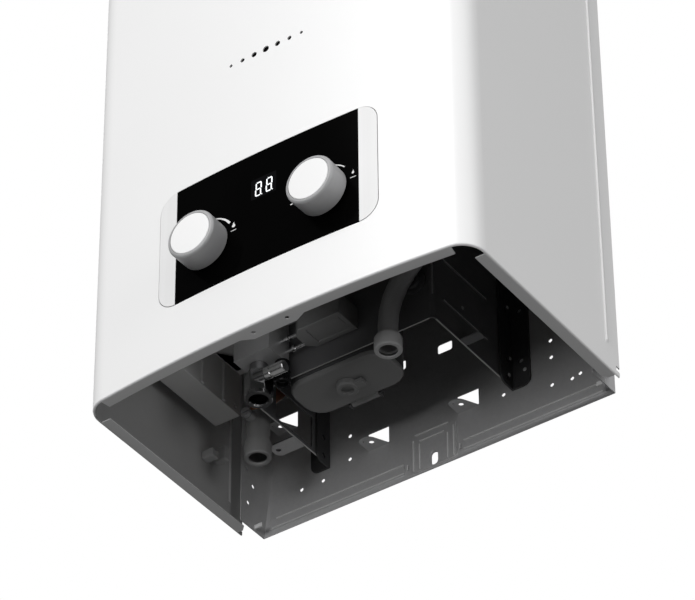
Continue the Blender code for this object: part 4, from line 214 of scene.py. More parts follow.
class Bench:
    """A mesh on the bench: faces, edges and points are picked by place and shaped with edit tools."""

    def __init__(self, piece):
        self.piece = piece
        take(piece)
        bpy.ops.object.mode_set(mode="EDIT")

    def choose(self, kind, test):
        """Select the items that pass a test."""
        bpy.ops.mesh.select_mode(type=kind)
        bpy.ops.mesh.select_all(action="DESELECT")
        mesh = bmesh.from_edit_mesh(self.piece.data)
        for item in {"VERT": mesh.verts, "EDGE": mesh.edges, "FACE": mesh.faces}[kind]:
            if test(item):
                item.select_set(True)
        mesh.select_flush_mode()
        bmesh.update_edit_mesh(self.piece.data)
        return self

    def pick(self, kind, test=None, facing=None, along=None):
        """Select items whose points all pass a test; faces may have to look, and edges to run, one way."""

        def fits(item):
            """Whether an item passes."""
            points = [item.co] if kind == "VERT" else [vert.co for vert in item.verts]
            return (
                (not test or all(test(point) for point in points))
                and (not facing or item.normal.dot(facing) >= FACING)
                and (not along or abs((points[0] - points[1]).normalized().dot(along)) >= ALONG)
            )

        return self.choose(kind, fits)

    def reshape(self, change):
        """Put each point where a function says."""
        mesh = bmesh.from_edit_mesh(self.piece.data)
        for vert in mesh.verts:
            vert.co = change(vert.co)
        bmesh.update_edit_mesh(self.piece.data)
        return self

    def all(self):
        """Select everything."""
        bpy.ops.mesh.select_mode(type="VERT")
        bpy.ops.mesh.select_all(action="SELECT")
        return self

    def move(self, vector):
        """Move what is picked."""
        bpy.ops.transform.translate(value=vector)
        return self

    def extrude(self, vector):
        """Extrude picked faces or edges along a vector."""
        bpy.ops.mesh.extrude_region_move(TRANSFORM_OT_translate={"value": vector})
        return self

    def inset(self, width, depth=0.0):
        """Inset picked faces."""
        bpy.ops.mesh.inset(thickness=width, depth=depth)
        return self

    def bevel(self, width, segments=3):
        """Round picked edges."""
        bpy.ops.mesh.bevel(offset=width, segments=segments, affect="EDGES", clamp_overlap=True)
        return self

    def slice(self, point, normal):
        """Cut edges into the whole mesh along a plane."""
        self.all()
        bpy.ops.mesh.bisect(plane_co=point, plane_no=normal)
        return self

    def remove(self, kind="FACE"):
        """Delete what is picked."""
        bpy.ops.mesh.delete(type=kind)
        return self

    def weld(self):
        """Merge doubled points and turn all faces outwards."""
        self.all()
        bpy.ops.mesh.remove_doubles(threshold=MERGE)
        bpy.ops.mesh.normals_make_consistent(inside=False)
        return self

    def off(self):
        """Take the mesh off the bench."""
        free_hands()
        return self.piece


def laid(name, add, **settings):
    """Add a primitive and open it for editing."""
    free_hands()
    add(**settings)
    piece = named(bpy.context.object, name)
    bpy.ops.object.transform_apply(location=True, rotation=True, scale=True)
    return Bench(piece)


def box_on_bench(name, first, second):
    """A block between two opposite corners, open for editing."""
    first, second = Vector(first), Vector(second)
    size = [abs(part) for part in second - first]
    return laid(name, bpy.ops.mesh.primitive_cube_add, size=1, location=(first + second) / 2, scale=size)


# Direction of each axis, and the turn that brings Z onto it
AXES = {"X": (X, (0, pi / 2, 0)), "Y": (Y, (pi / 2, 0, 0)), "Z": (Z, (0, 0, 0))}


def drum(name, centre, axis, radius, span, count=32):
    """A round bar centred on a point, open for editing."""
    return laid(
        name, bpy.ops.mesh.primitive_cylinder_add, vertices=count, radius=radius, depth=span, location=centre,
        rotation=AXES[axis][1],
    )


def turned(name, centre, axis, profile, count, closed=False):
    """Turn a profile of (radius, height) pairs round an axis by drawing out one ring after another.

    A closed profile makes a ring; otherwise both ends are filled."""
    along, turn = AXES[axis]
    centre = Vector(centre)
    bench = laid(
        name, bpy.ops.mesh.primitive_circle_add, vertices=count, radius=profile[0][0], rotation=turn,
        location=centre + along * profile[0][1], fill_type="NOTHING" if closed else "NGON",
    ).all()
    for (radius, height), (next_radius, next_height) in zip(profile, profile[1:]):
        if not closed:
            bpy.ops.mesh.select_mode(type="FACE")
        bench.extrude(along * (next_height - height))
        share = next_radius / radius
        scale = Vector((share, share, share)) - along * (share - 1)
        bpy.ops.transform.resize(value=scale, center_override=centre + along * next_height)
        bpy.ops.mesh.select_mode(type="VERT")
    if closed:
        mesh = bmesh.from_edit_mesh(bench.piece.data)
        for edge in mesh.edges:
            edge.select_set(edge.is_boundary)
        bmesh.update_edit_mesh(bench.piece.data)
        bpy.ops.mesh.bridge_edge_loops()
    return bench.weld()


def carved(piece, *cutters, operation="DIFFERENCE"):
    """Cut each cutter's shape out of a piece, or join it on."""
    for cutter in cutters:
        cutter = cutter.off() if isinstance(cutter, Bench) else cutter
        finished(piece, "BOOLEAN", operation=operation, object=cutter, solver="EXACT")
        bpy.data.objects.remove(cutter)
    return piece


def rounded_edges(piece, width, segments=2, angle=35):
    """Round all edges sharper than an angle."""
    return finished(
        piece, "BEVEL", width=width, segments=segments, limit_method="ANGLE", angle_limit=radians(angle),
        use_clamp_overlap=True, miter_outer="MITER_ARC",
    )


def copied(node, name, flat=True):
    """Copy of a solid with its points merged and its flat faces joined if they may be."""
    bench = Bench(named(duplicated(NODES[node]), name)).all()
    bpy.ops.mesh.remove_doubles(threshold=MERGE)
    if flat:
        bpy.ops.mesh.dissolve_limited(angle_limit=radians(0.5))
    return bench.off()


def joined(name, pieces):
    """Join pieces into one."""
    take(*pieces)
    bpy.ops.object.join()
    return named(bpy.context.object, name)


def copies(master, places):
    """One copy of a piece at each place, each with its own mesh; the first place takes the piece itself."""
    made = [master, *[duplicated(master) for place in places[1:]]]
    for piece, place in zip(made, places):
        piece.location = place
    take(*made)
    bpy.ops.object.transform_apply(location=True, rotation=True, scale=True)
    return made


def placed(piece, finish, body="casing", smooth=40):
    """Give a piece its finish and shading, and say what it rides on."""
    piece = piece.off() if isinstance(piece, Bench) else piece
    take(piece)
    bpy.ops.object.shade_smooth_by_angle(angle=radians(smooth))
    finished(piece, "WEIGHTED_NORMAL", keep_sharp=True)
    piece.data.materials.clear()
    piece.data.materials.append(finish_of(finish))
    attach(piece, body)
    return piece


def stand_in(piece, finish, node, smooth=30):
    """Put a piece in the place of a solid, on the solid's body."""
    piece = placed(piece, finish, NODES[node]["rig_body"], smooth)
    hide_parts(node)
    return piece


def soften(node, name, finish, width, segments=2):
    """Put a copy with rounded edges in the place of a solid."""
    stand_in(rounded_edges(copied(node, name), width, segments), finish, node)


def strips(name, finish, corners):
    """Thin strips between pairs of opposite corners, joined into one piece."""
    pieces = [box_on_bench("edge", spot(*low), spot(*high)).off() for low, high in corners]
    placed(joined(name, pieces), finish)


def dressed(finish, *nodes):
    """Give solids that stay in view a finish."""
    for node in nodes:
        for slot in NODES[node].material_slots:
            slot.material = finish_of(finish)


# Finishes

class Tree:
    """A node tree in the making."""

    def __init__(self, tree):
        self.tree = tree

    def join(self, socket, value):
        """Link a socket to another one's value, or set it."""
        if isinstance(value, bpy.types.NodeSocket):
            self.tree.links.new(value, socket)
        else:
            socket.default_value = (*value, 1.0) if socket.type == "RGBA" and len(value) == 3 else value

    def node(self, kind, values=None, output=0, **settings):
        """Add a node with its settings and its sockets' values or links, and give one of its outputs."""
        node = self.tree.nodes.new("ShaderNode" + kind)
        for key, value in settings.items():
            setattr(node, key, value)
        for key, value in (values or {}).items():
            self.join(node.inputs[key], value)
        return node.outputs[output]

    def scaled(self, value, factor, level):
        """A value times a factor, on top of a level."""
        return self.node("Math", {0: value, 1: factor, 2: level}, operation="MULTIPLY_ADD")

    def ramp(self, value, *stops):
        """Grey ramp of a value, from the place and shade of two stops."""
        shade = self.node("ValToRGB", {"Fac": value}, "Color")
        for stop, (place, grey) in zip(shade.node.color_ramp.elements, stops):
            stop.position = place
            stop.color = (grey, grey, grey, 1.0)
        return shade

    def blend(self, share, first, second):
        """Mix of two colours."""
        mix = self.node("Mix", {0: share}, data_type="RGBA").node
        for socket, shade in zip([socket for socket in mix.inputs if socket.type == "RGBA"], (first, second)):
            self.join(socket, shade)
        return [socket for socket in mix.outputs if socket.type == "RGBA"][0]


def shaded(base, factor):
    """A colour made darker or lighter."""
    return tuple(min(1.0, part * factor) for part in base)


class Finish(Tree):
    """A procedural finish in the making."""

    def __init__(self, name, base, roughness, metallic=0.0, **settings):
        self.material = bpy.data.materials.new(name)
        self.material.use_nodes = True
        super().__init__(self.material.node_tree)
        self.base = base
        self.shader = self.tree.nodes["Principled BSDF"]
        plain = {"Base_Color": base, "Roughness": roughness, "Metallic": metallic, **settings}
        for key, value in plain.items():
            self.join(self.shader.inputs[key.replace("_", " ")], value)
        self.place = self.node("TexCoord", output="Object")

    def stretched(self, scale):
        """Object coordinates scaled by a factor for each axis."""
        return self.node("Mapping", {"Vector": self.place, "Scale": scale}, "Vector")

    def noise(self, scale, detail, stretch=None):
        """Noise from 0 to 1 over the piece, drawn out along an axis if it has to be."""
        place = self.stretched(stretch) if stretch else self.place
        return self.node("TexNoise", {"Vector": place, "Scale": scale, "Detail": detail}, "Fac")

    def varied(self, tint, rough=None, relief=None, onto="Base Color"):
        """Let one value vary the colour between two shades, one the roughness and one the relief.

        A shade is a colour, or a factor on the finish's own."""
        share, *shades = tint
        shades = [shade if isinstance(shade, tuple) else shaded(self.base, shade) for shade in shades]
        self.join(self.shader.inputs[onto], self.blend(share, *shades))
        if rough:
            self.join(self.shader.inputs["Roughness"], self.scaled(*rough))
        if relief:
            values = dict(zip(("Height", "Strength", "Distance"), relief))
            self.join(self.shader.inputs["Normal"], self.node("Bump", values, "Normal"))
        return self.material


def enamel(name, base):
    """Smooth sprayed enamel with a faint waviness."""
    made = Finish(name, base, 0.32)
    return made.varied(
        (made.noise(9, 2), 0.985, 1.01), (made.noise(60, 3), 0.06, 0.29), (made.noise(420, 2), 0.05, 0.0004)
    )


def gloss(name, base):
    """Black panel glass."""
    made = Finish(name, base, 0.10, Specular_IOR_Level=0.01)
    return made.varied((made.noise(20, 2), 0.7, 1.3), (made.noise(35, 3), 0.05, 0.08))


def satin(name, base):
    """Silver-white moulding with a fine satin grain."""
    made = Finish(name, base, 0.44)
    grain = made.noise(1800, 2)
    streak = made.noise(260, 2, (1, 1, 0.01))
    return made.varied((streak, 0.95, 1.04), (grain, 0.10, 0.40), (grain, 0.06, 0.0002))


def printed(name, base):
    """Flat printed paint."""
    made = Finish(name, base, 0.5)
    return made.varied((made.noise(900, 2), 0.92, 1.04))


def glowing(name, base):
    """Lit segments behind smoked glass."""
    made = Finish(name, base, 0.4, Emission_Strength=0.55)
    return made.varied((made.noise(700, 2), 0.9, 1.0), onto="Emission Color")


def brushed(name, base, roughness, metallic):
    """Drawn or brushed metal with lines along one way."""
    made = Finish(name, base, roughness, metallic)
    lines = made.noise(900, 3, (1, 1, 12))
    stain = made.noise(34, 4)
    uneven = made.scaled(stain, 0.10, roughness - 0.12)
    return made.varied((stain, 0.82, 1.12), (lines, 0.16, uneven), (lines, 0.08, 0.0002))


def galvanised(name, base):
    """Zinc-coated sheet with its pale crystals."""
    made = Finish(name, base, 0.50, 0.3)
    crystal = made.node("TexVoronoi", {"Vector": made.place, "Scale": 420}, "Color")
    flake = made.node("RGBToBW", {"Color": crystal})
    return made.varied((flake, 0.96, 1.03), (flake, 0.08, 0.46), (made.noise(300, 3), 0.03, 0.0004))


def painted(name, base, roughness):
    """Painted sheet with a fine texture and paler wear."""
    made = Finish(name, base, roughness)
    worn = made.ramp(made.noise(45, 5), (0.55, 0.0), (0.80, 1.0))
    return made.varied(
        (worn, base, tuple(part + 0.02 for part in base)), (made.noise(240, 3), 0.20, roughness - 0.08),
        (made.noise(1500, 2), 0.10, 0.0003),
    )


def moulded(name, base, roughness=0.5):
    """Moulded plastic with a fine spark-eroded grain."""
    made = Finish(name, base, roughness)
    grain, cloud = made.noise(2200, 3), made.noise(26, 4)
    return made.varied((cloud, 0.93, 1.06), (grain, 0.14, roughness - 0.07), (grain, 0.16, 0.0003))


def cast(name, base, roughness, metallic):
    """Cast or forged metal with a pebbly skin."""
    made = Finish(name, base, roughness, metallic)
    pebble, stain = made.noise(700, 4), made.noise(40, 4)
    return made.varied((stain, 0.74, 1.12), (pebble, 0.18, roughness - 0.08), (pebble, 0.22, 0.0005))


def fired(name, base):
    """Copper that the flame has darkened and turned in places."""
    made = Finish(name, base, 0.32, 0.95)
    cloud = made.ramp(made.noise(22, 5), (0.35, 0.0), (0.70, 1.0))
    rough, relief = (made.noise(120, 4), 0.25, 0.20), (made.noise(500, 3), 0.06, 0.0003)
    return made.varied((cloud, base, (0.24, 0.12, 0.09)), rough, relief)


def board(name, base):
    """Circuit board with paler tracks."""
    made = Finish(name, base, 0.35)
    cells = {"Vector": made.stretched((1, 1, 2.5)), "Scale": 260}
    line = made.node("TexVoronoi", cells, "Distance", feature="DISTANCE_TO_EDGE")
    track = made.ramp(line, (0.04, 1.0), (0.07, 0.0))
    return made.varied((track, base, (0.10, 0.34, 0.16)), relief=(track, 0.2, 0.0002))


# Where the pale band of a cell starts and where it has its full colour, above the casing's lower edge
CELL_BAND = (0.085, 0.088)


def banded(name, base):
    """Plain cell sleeve with one pale band."""
    made = Finish(name, base, 0.3, 0.3)
    height = made.node("SeparateXYZ", {"Vector": made.place}, "Z")
    above = made.node("Math", {0: height, 1: BOTTOM}, operation="SUBTRACT")
    band = made.ramp(above, (CELL_BAND[0], 0.0), (CELL_BAND[1], 1.0))
    return made.varied((band, base, (0.55, 0.36, 0.14)), (made.noise(60, 3), 0.1, 0.25))


# Maker of each finish, its colour or the setting that holds it, a factor on it, and roughness and metallic
FINISHES = {
    "enamel": (enamel, "enamel", 1),
    "silver": (satin, "silver", 1),
    "panel_glass": (gloss, "glass", 1),
    "lens": (gloss, (0.0045, 0.0045, 0.005), 1),
    "print_white": (printed, "print_white", 1),
    "digits": (glowing, "digit", 1),
    "knob_face": (enamel, "enamel", 1.02),
    "skirt": (satin, "skirt", 1),
    "zinc": (galvanised, "zinc", 1),
    "die_cast": (cast, "zinc", 0.8, 0.5, 0.5),
    "dark_sheet": (painted, "dark_sheet", 1, 0.36),
    "black_paint": (painted, "black", 1, 0.34),
    "plastic": (moulded, "plastic", 1),
    "dark_plastic": (moulded, "dark_plastic", 1, 0.42),
    "red_plastic": (moulded, (0.42, 0.03, 0.02), 1, 0.4),
    "lead": (moulded, (0.018, 0.018, 0.02), 1, 0.45),
    "turned_brass": (brushed, "brass", 1, 0.30, 0.95),
    "copper": (brushed, "copper", 1, 0.30, 0.95),
    "fired_copper": (fired, "copper", 1),
    "steel": (brushed, "steel", 1, 0.32, 0.9),
    "dark_steel": (brushed, (0.025, 0.025, 0.027), 1, 0.25, 0.7),
    "pipe_steel": (brushed, (0.42, 0.42, 0.425), 1, 0.42, 0.3),
    "plated": (brushed, (0.34, 0.34, 0.34), 1, 0.5, 0.3),
    "dark_chrome": (brushed, (0.34, 0.34, 0.345), 1, 0.15, 1.0),
    "nut_grey": (moulded, (0.50, 0.50, 0.50), 1),
    "lid_grey": (moulded, (0.255, 0.255, 0.255), 1),
    "igniter_grey": (moulded, (0.20, 0.20, 0.20), 1),
    "chrome": (brushed, (0.80, 0.80, 0.80), 1, 0.16, 1.0),
    "ceramic": (enamel, (0.78, 0.75, 0.70), 1),
    "mica": (gloss, (0.004, 0.004, 0.004), 1),
    # Darker grey for the inner faces of the cover's sides: painted shade
    "primer": (painted, (0.44, 0.44, 0.44), 1, 0.6),
    "board": (board, (0.02, 0.14, 0.06), 1),
    "cell": (banded, (0.02, 0.02, 0.022), 1),
    "floor": (painted, "floor", 1, 0.6),
}


def finish_of(kind):
    """A finish by its kind, made when it is first wanted."""
    name = f"{kind}_finish"
    maker, base, factor, *rest = FINISHES[kind]
    if isinstance(base, str):
        base = getattr(bpy.context.scene.heater_colours, base)
    return bpy.data.materials.get(name) or maker(name, shaded(base, factor), *rest)


# Right, up and back of the camera, its place and its lens; all fitted to the photograph
CAMERA_AXES = (
    (0.81954534, 0.57297128, -0.00702505),
    (0.36280129, -0.5093627, 0.78033638),
    (0.44353203, -0.64206974, -0.62532055),
)
CAMERA_PLACE = (1.31254, -2.01018, -2.27702)
CAMERA_LENS, CAMERA_SENSOR = 213.67, 36
FLOOR_SIZE, FLOOR_PLACE = 8, (0, 0, -6)
# Name, place, aim, size and power of each light
LIGHTS = (
    ("key_light", (-0.2, -3.5, 1.7), (0, -0.1, -0.2), 2.4, 103),
    ("side_light", (3.4, -0.6, 0.4), (0.1, -0.1, -0.2), 2.0, 39),
    ("low_light", (0.2, -3.5, -1.05), (0, 0, -0.48), 1.3, 33),
    ("right_low_light", (1.6, -0.5, -1.0), (-0.1, -0.08, -0.45), 0.5, 2.5),
    ("inner_light", (-0.04, -0.17, -0.49), (-0.14, -0.12, -0.42), 0.06, 0.010),
)


class HEATER_OT_stage(bpy.types.Operator):
    """Set up the camera, the lights, the background and the floor"""

    bl_idname = "heater.stage"
    bl_label = "Stage"

    def execute(self, context):
        bpy.ops.object.select_all(action="DESELECT")
        bpy.ops.object.camera_add()
        camera = context.scene.camera = context.object
        camera.name = "photo_camera"
        turn = Matrix(CAMERA_AXES).transposed().to_4x4()
        camera.matrix_world = Matrix.Translation(CAMERA_PLACE) @ turn
        camera.data.lens = CAMERA_LENS
        camera.data.sensor_width = CAMERA_SENSOR
        for name, place, aim, size, power in LIGHTS:
            bpy.ops.object.light_add(type="AREA", location=place)
            lamp = context.object
            lamp.name = name
            lamp.rotation_euler = (Vector(place) - Vector(aim)).to_track_quat("Z", "Y").to_euler()
            lamp.data.size = size
            lamp.data.energy = power
        bpy.data.objects["inner_light"].visible_camera = False
        self.background(context.scene)
        bpy.ops.mesh.primitive_plane_add(size=FLOOR_SIZE, location=FLOOR_PLACE)
        floor = context.object
        floor.name = "floor"
        floor.data.materials.append(finish_of("floor"))
        context.scene.view_settings.view_transform = "Standard"
        return {"FINISHED"}

    def background(self, scene):
        """White behind the heater, and soft light that is stronger from above than from below."""
        scene.world = bpy.data.worlds.new("studio")
        scene.world.use_nodes = True
        sky = Tree(scene.world.node_tree)
        level = sky.node("SeparateXYZ", {0: sky.node("TexCoord", output="Generated")}, "Z")
        soft = sky.ramp(sky.scaled(level, 0.5, 0.5), (0.38, 0.045), (0.80, 0.42))
        white = sky.blend(sky.node("LightPath", output="Is Camera Ray"), soft, (1, 1, 1))
        sky.join(sky.tree.nodes["Background"].inputs["Color"], white)


# Casing

def stations(half, count, *extra):
    """Even places across the front, with some extra ones."""
    return sorted({half * (2 * i / count - 1) for i in range(1, count)} | set(extra))


# Where the lips stop short of the rounded corners: across, and behind the flat front
LIP_END, LIP_DEPTH = 0.1455, 0.0215
# The tab in the middle of the front lip: half of its straight edge, half of its root, and its reach
TAB_FLAT, TAB_ROOT, TAB_REACH = 0.018, 0.027, 0.0045
# How far a point of a rim may lie off its line, and one of the tab off its end; width of the rear returns
RIM_SLACK, TAB_SLACK, REAR_RETURN = 0.0012, 0.0002, 0.005
# The bead along each side: its distance from the rear edge and from the cover's ends, the length that its
# ends slope over, and the cuts across its width
BEAD_INSET, BEAD_END, BEAD_SLOPE = 0.0165, 0.0218, 0.002
BEAD_CUTS = (-0.0014, -0.0009, 0.0009, 0.0021)
# The row of flame holes: pitch, height, largest and smallest diameter
HOLE_PITCH, HOLE_LEVEL, HOLE_WIDE, HOLE_SMALL = 0.0105, 0.251, 0.0055, 0.0027
# The screw holes in the front lip: distance from the middle, distance behind the front, radius
SCREW_PLACE, SCREW_INSET, SCREW_RADIUS = 0.01425, 0.0077, 0.0018
# Cutter of the notch at each rear corner and of the one in its return: its inner and outer end measured
# from the side, its reach in front of the rear edge, and its lowest and highest point
NOTCHES = (
    ("notch_cutter", -0.009, 0.004, 0.0055, 0.0042, 0.0080),
    ("return_cutter", -0.012, -0.0011, 0.0060, -0.004, 0.018),
)
# How far both cutters stick out behind the rear edge, and the radius of the hole for the flue collar
NOTCH_PAST, FLUE_HOLE = 0.004, 0.057


class HEATER_OT_cover(bpy.types.Operator):
    """Fold the white cover with its lip, tab, beads, holes and openings"""

    bl_idname = "heater.cover"
    bl_label = "Cover"

    def execute(self, context):
        sizes = context.scene.heater_sizes
        half, rear = sizes.width / 2, -sizes.wall_gap
        chord, top = rear - sizes.depth, BOTTOM + sizes.height
        bench = box_on_bench("cover_shell", (-half, chord, BOTTOM), (half, rear, top))
        bench.pick("EDGE", lambda p: p.y < chord + TOUCH, along=Z).bevel(sizes.corner, 8)
        columns = stations(half - sizes.corner, 28, TAB_FLAT, -TAB_FLAT, TAB_ROOT, -TAB_ROOT)
        for x in columns:
            bench.slice((x, 0, 0), X)
        for x in columns:
            bench.pick("VERT", lambda p: abs(p.x - x) < TOUCH and p.y < chord + TOUCH)
            bench.move((0, front_y(x) - chord, 0))
        bench.slice((0, chord + sizes.corner + 0.001, 0), Y)
        self.folds(bench, sizes, rear, top)
        self.beads(bench, sizes, half, rear, top)
        self.lips(bench, sizes, half, rear, chord)
        cover = finished(bench.off(), "SOLIDIFY", thickness=sizes.sheet, offset=-1, use_even_offset=True)
        carved(cover, *self.cutters(half, rear, top))
        stand_in(rounded_edges(cover, 0.00025, 2, 50), "enamel", "front_cover", 32)
        self.prime(cover, half)
        return {"FINISHED"}

    def prime(self, cover, half):
        """Give the inner faces of the two sides a darker grey as painted shade."""

        def inside(face):
            """Whether a face is a side's inner one."""
            x = face.calc_center_median().x
            return face.normal.x * (1 if x > 0 else -1) < -0.9 and abs(x) > half - 0.003

        cover.data.materials.append(finish_of("primer"))
        cover.active_material_index = 1
        Bench(cover).choose("FACE", inside)
        bpy.ops.object.material_slot_assign()
        free_hands()

    def folds(self, bench, sizes, rear, top):
        """Round the folded edges round the bottom, the top and the rear."""

        def folded(edge):
            """Whether an edge is one of the folds."""
            first, second = (vert.co for vert in edge.verts)
            flat = abs(first.z - second.z) < TOUCH and min(abs(first.z - BOTTOM), abs(first.z - top)) < TOUCH
            sharp = len(edge.link_faces) == 2 and edge.calc_face_angle(0) > 1
            return sharp and (flat or first.y > rear - TOUCH)

        bench.choose("EDGE", folded).bevel(sizes.fold, 3)

    def beads(self, bench, sizes, half, rear, top):
        """Press a bead out of each side close to the rear edge."""
        middle, low, high = rear - BEAD_INSET, BOTTOM + BEAD_END, top - BEAD_END
        for y in BEAD_CUTS:
            bench.slice((0, middle + y, 0), Y)
        for z in (low, low + BEAD_SLOPE, high - BEAD_SLOPE, high):
            bench.slice((0, 0, z), Z)
        for side in (-1, 1):
            bench.pick("FACE", lambda p: (
                p.x * side > half - TOUCH and abs(p.y - middle) < 0.001 and low + 0.001 < p.z < high - 0.001
            )).move((side * sizes.bead, 0, 0))

    def lips(self, bench, sizes, half, rear, chord):
        """Open the bottom and the rear, and leave the lips, the tab and the rear returns."""
        level, corner, fold = BOTTOM + TOUCH, chord + LIP_DEPTH, sizes.fold

        def on_rim(p, reach):
            """Whether a point lies on the rim of the front lip, or on that of the tab."""
            return p.z < level and abs(p.y - front_y(p.x, sizes.lip + reach)) < RIM_SLACK

        def sloped(p):
            """Point of the tab, moved back where its ends slope."""
            if TAB_FLAT + TAB_SLACK < abs(p.x) < TAB_ROOT + TAB_SLACK and on_rim(p, TAB_REACH):
                p.y -= TAB_REACH * (abs(p.x) - TAB_FLAT) / (TAB_ROOT - TAB_FLAT)
            return p

        for x in (-LIP_END, LIP_END):
            bench.slice((x, 0, 0), X)
        bench.slice((0, corner, 0), Y)
        bench.pick("FACE", lambda p: p.z < level, -Z).inset(sizes.lip - fold).remove()
        bench.pick("FACE", lambda p: p.z < level and abs(p.x) > LIP_END - TOUCH and p.y < corner + TOUCH, -Z)
        bench.remove()
        bench.pick("FACE", lambda p: p.z < level and p.y > rear - sizes.lip - 0.004, -Z).remove()
        bench.pick("FACE", lambda p: (
            p.z < level + fold and p.y > rear - fold - TOUCH and abs(p.x) < half - fold + TOUCH
        )).remove()
        bench.pick("EDGE", lambda p: abs(p.x) < TAB_ROOT + TAB_SLACK and on_rim(p, 0))
        bench.extrude((0, TAB_REACH, 0))
        bench.reshape(sloped).weld()
        bench.pick("FACE", lambda p: p.y > rear - TOUCH, Y).inset(REAR_RETURN - fold).remove()
        bench.pick("FACE", lambda p: p.y > rear - TOUCH and abs(p.x) < half - 0.004, Y).remove()

    def cutters(self, half, rear, top):
        """Shapes of the panel opening, the holes, the notches and the flue opening."""
        cutters = [panel_blank("panel_cutter", 0.0005, -0.02, 0.02)]
        for i in range(-3, 4):
            radius = (HOLE_WIDE + (HOLE_SMALL - HOLE_WIDE) * abs(i) / 3) / 2
            place = (i * HOLE_PITCH, front_y(0), BOTTOM + HOLE_LEVEL)
            cutters.append(drum("hole_cutter", place, "Y", radius, 0.02, 24))
        for side in (-1, 1):
            place = (side * SCREW_PLACE, front_y(SCREW_PLACE, SCREW_INSET), BOTTOM)
            cutters.append(drum("hole_cutter", place, "Z", SCREW_RADIUS, 0.01, 24))
            for name, inner, outer, front, low, high in NOTCHES:
                cutters.append(box_on_bench(
                    name, (side * (half + inner), rear - front, BOTTOM + low),
                    (side * (half + outer), rear + NOTCH_PAST, BOTTOM + high),
                ))
        middle = middle_of("flue_collar")
        return [*cutters, drum("flue_cutter", (middle.x, middle.y, top), "Z", FLUE_HOLE, 0.02, 64)]


def panel_blank(name, growth, start, end):
    """Rounded upright blank of the control panel, bowed as the cover is, between two insets."""
    sizes = bpy.context.scene.heater_sizes
    half, low = sizes.panel_width / 2 + growth, BOTTOM + sizes.panel_bottom - growth
    bench = box_on_bench(name, (-half, start, low), (half, end, low + sizes.panel_height + 2 * growth))
    return bowed(bench.pick("EDGE", along=Y).bevel(sizes.panel_corner + growth, 8), half)


def bowed(bench, half, count=20):
    """Cut columns across a flat block that stands on insets and push each one out to the cover's front."""
    for x in stations(half, count):
        bench.slice((x, 0, 0), X)
    columns = []
    for x in sorted(vert.co.x for vert in bmesh.from_edit_mesh(bench.piece.data).verts):
        if not columns or x - columns[-1] > TOUCH:
            columns.append(x)
    for x in columns:
        bench.pick("VERT", lambda p: -TOUCH / 100 < p.x - x <= TOUCH).move((0, front_y(x), 0))
    return bench


def plate_on_front(name, left, right, low, high, start, end, corner=0.0):
    """Thin plate that follows the front, between two insets."""
    bench = box_on_bench(name, (left, start, BOTTOM + low), (right, end, BOTTOM + high))
    if corner:
        bench.pick("EDGE", along=Y).bevel(corner, 4)
    return bowed(bench, (right - left) / 2 + abs(left + right) / 2, 8)


# How far printed marks and digits stand before the front, their thickness, and the knobs' place and arcs
MARK_LIFT, MARK_THICK = 0.00052, 0.00012
KNOB_PLACE, KNOB_LEVEL, ARC_RADIUS = 0.0512, 0.0888, 0.0232
# The digits' foot, the width and thickness of their bars, their slant, and the gap before their points
DIGIT_LEVEL, DIGIT_WIDE, DIGIT_THICK, DIGIT_SLANT, POINT_GAP = 0.1141, 0.0043, 0.00098, 0.09, 0.00125


# Side, angles in degrees, width and narrow end's share of each arc; place, height and size of each drop
ARCS = ((-1, 30, 72, 0.0019, 0.35), (1, 45, 74, 0.0009, 0.7))
DROPS = ((-0.0268, 0.0966, 0.0023), (0.0748, 0.0972, 0.0017))
# Half of the dash under a drop, how far below the drop it is, and its width
DROP_DASH = (0.0024, 0.0041, 0.0005)
# Left end, right end, height and width of the bar below the display
DISPLAY_BAR = (0.0226, 0.0246, 0.0918, 0.0009)


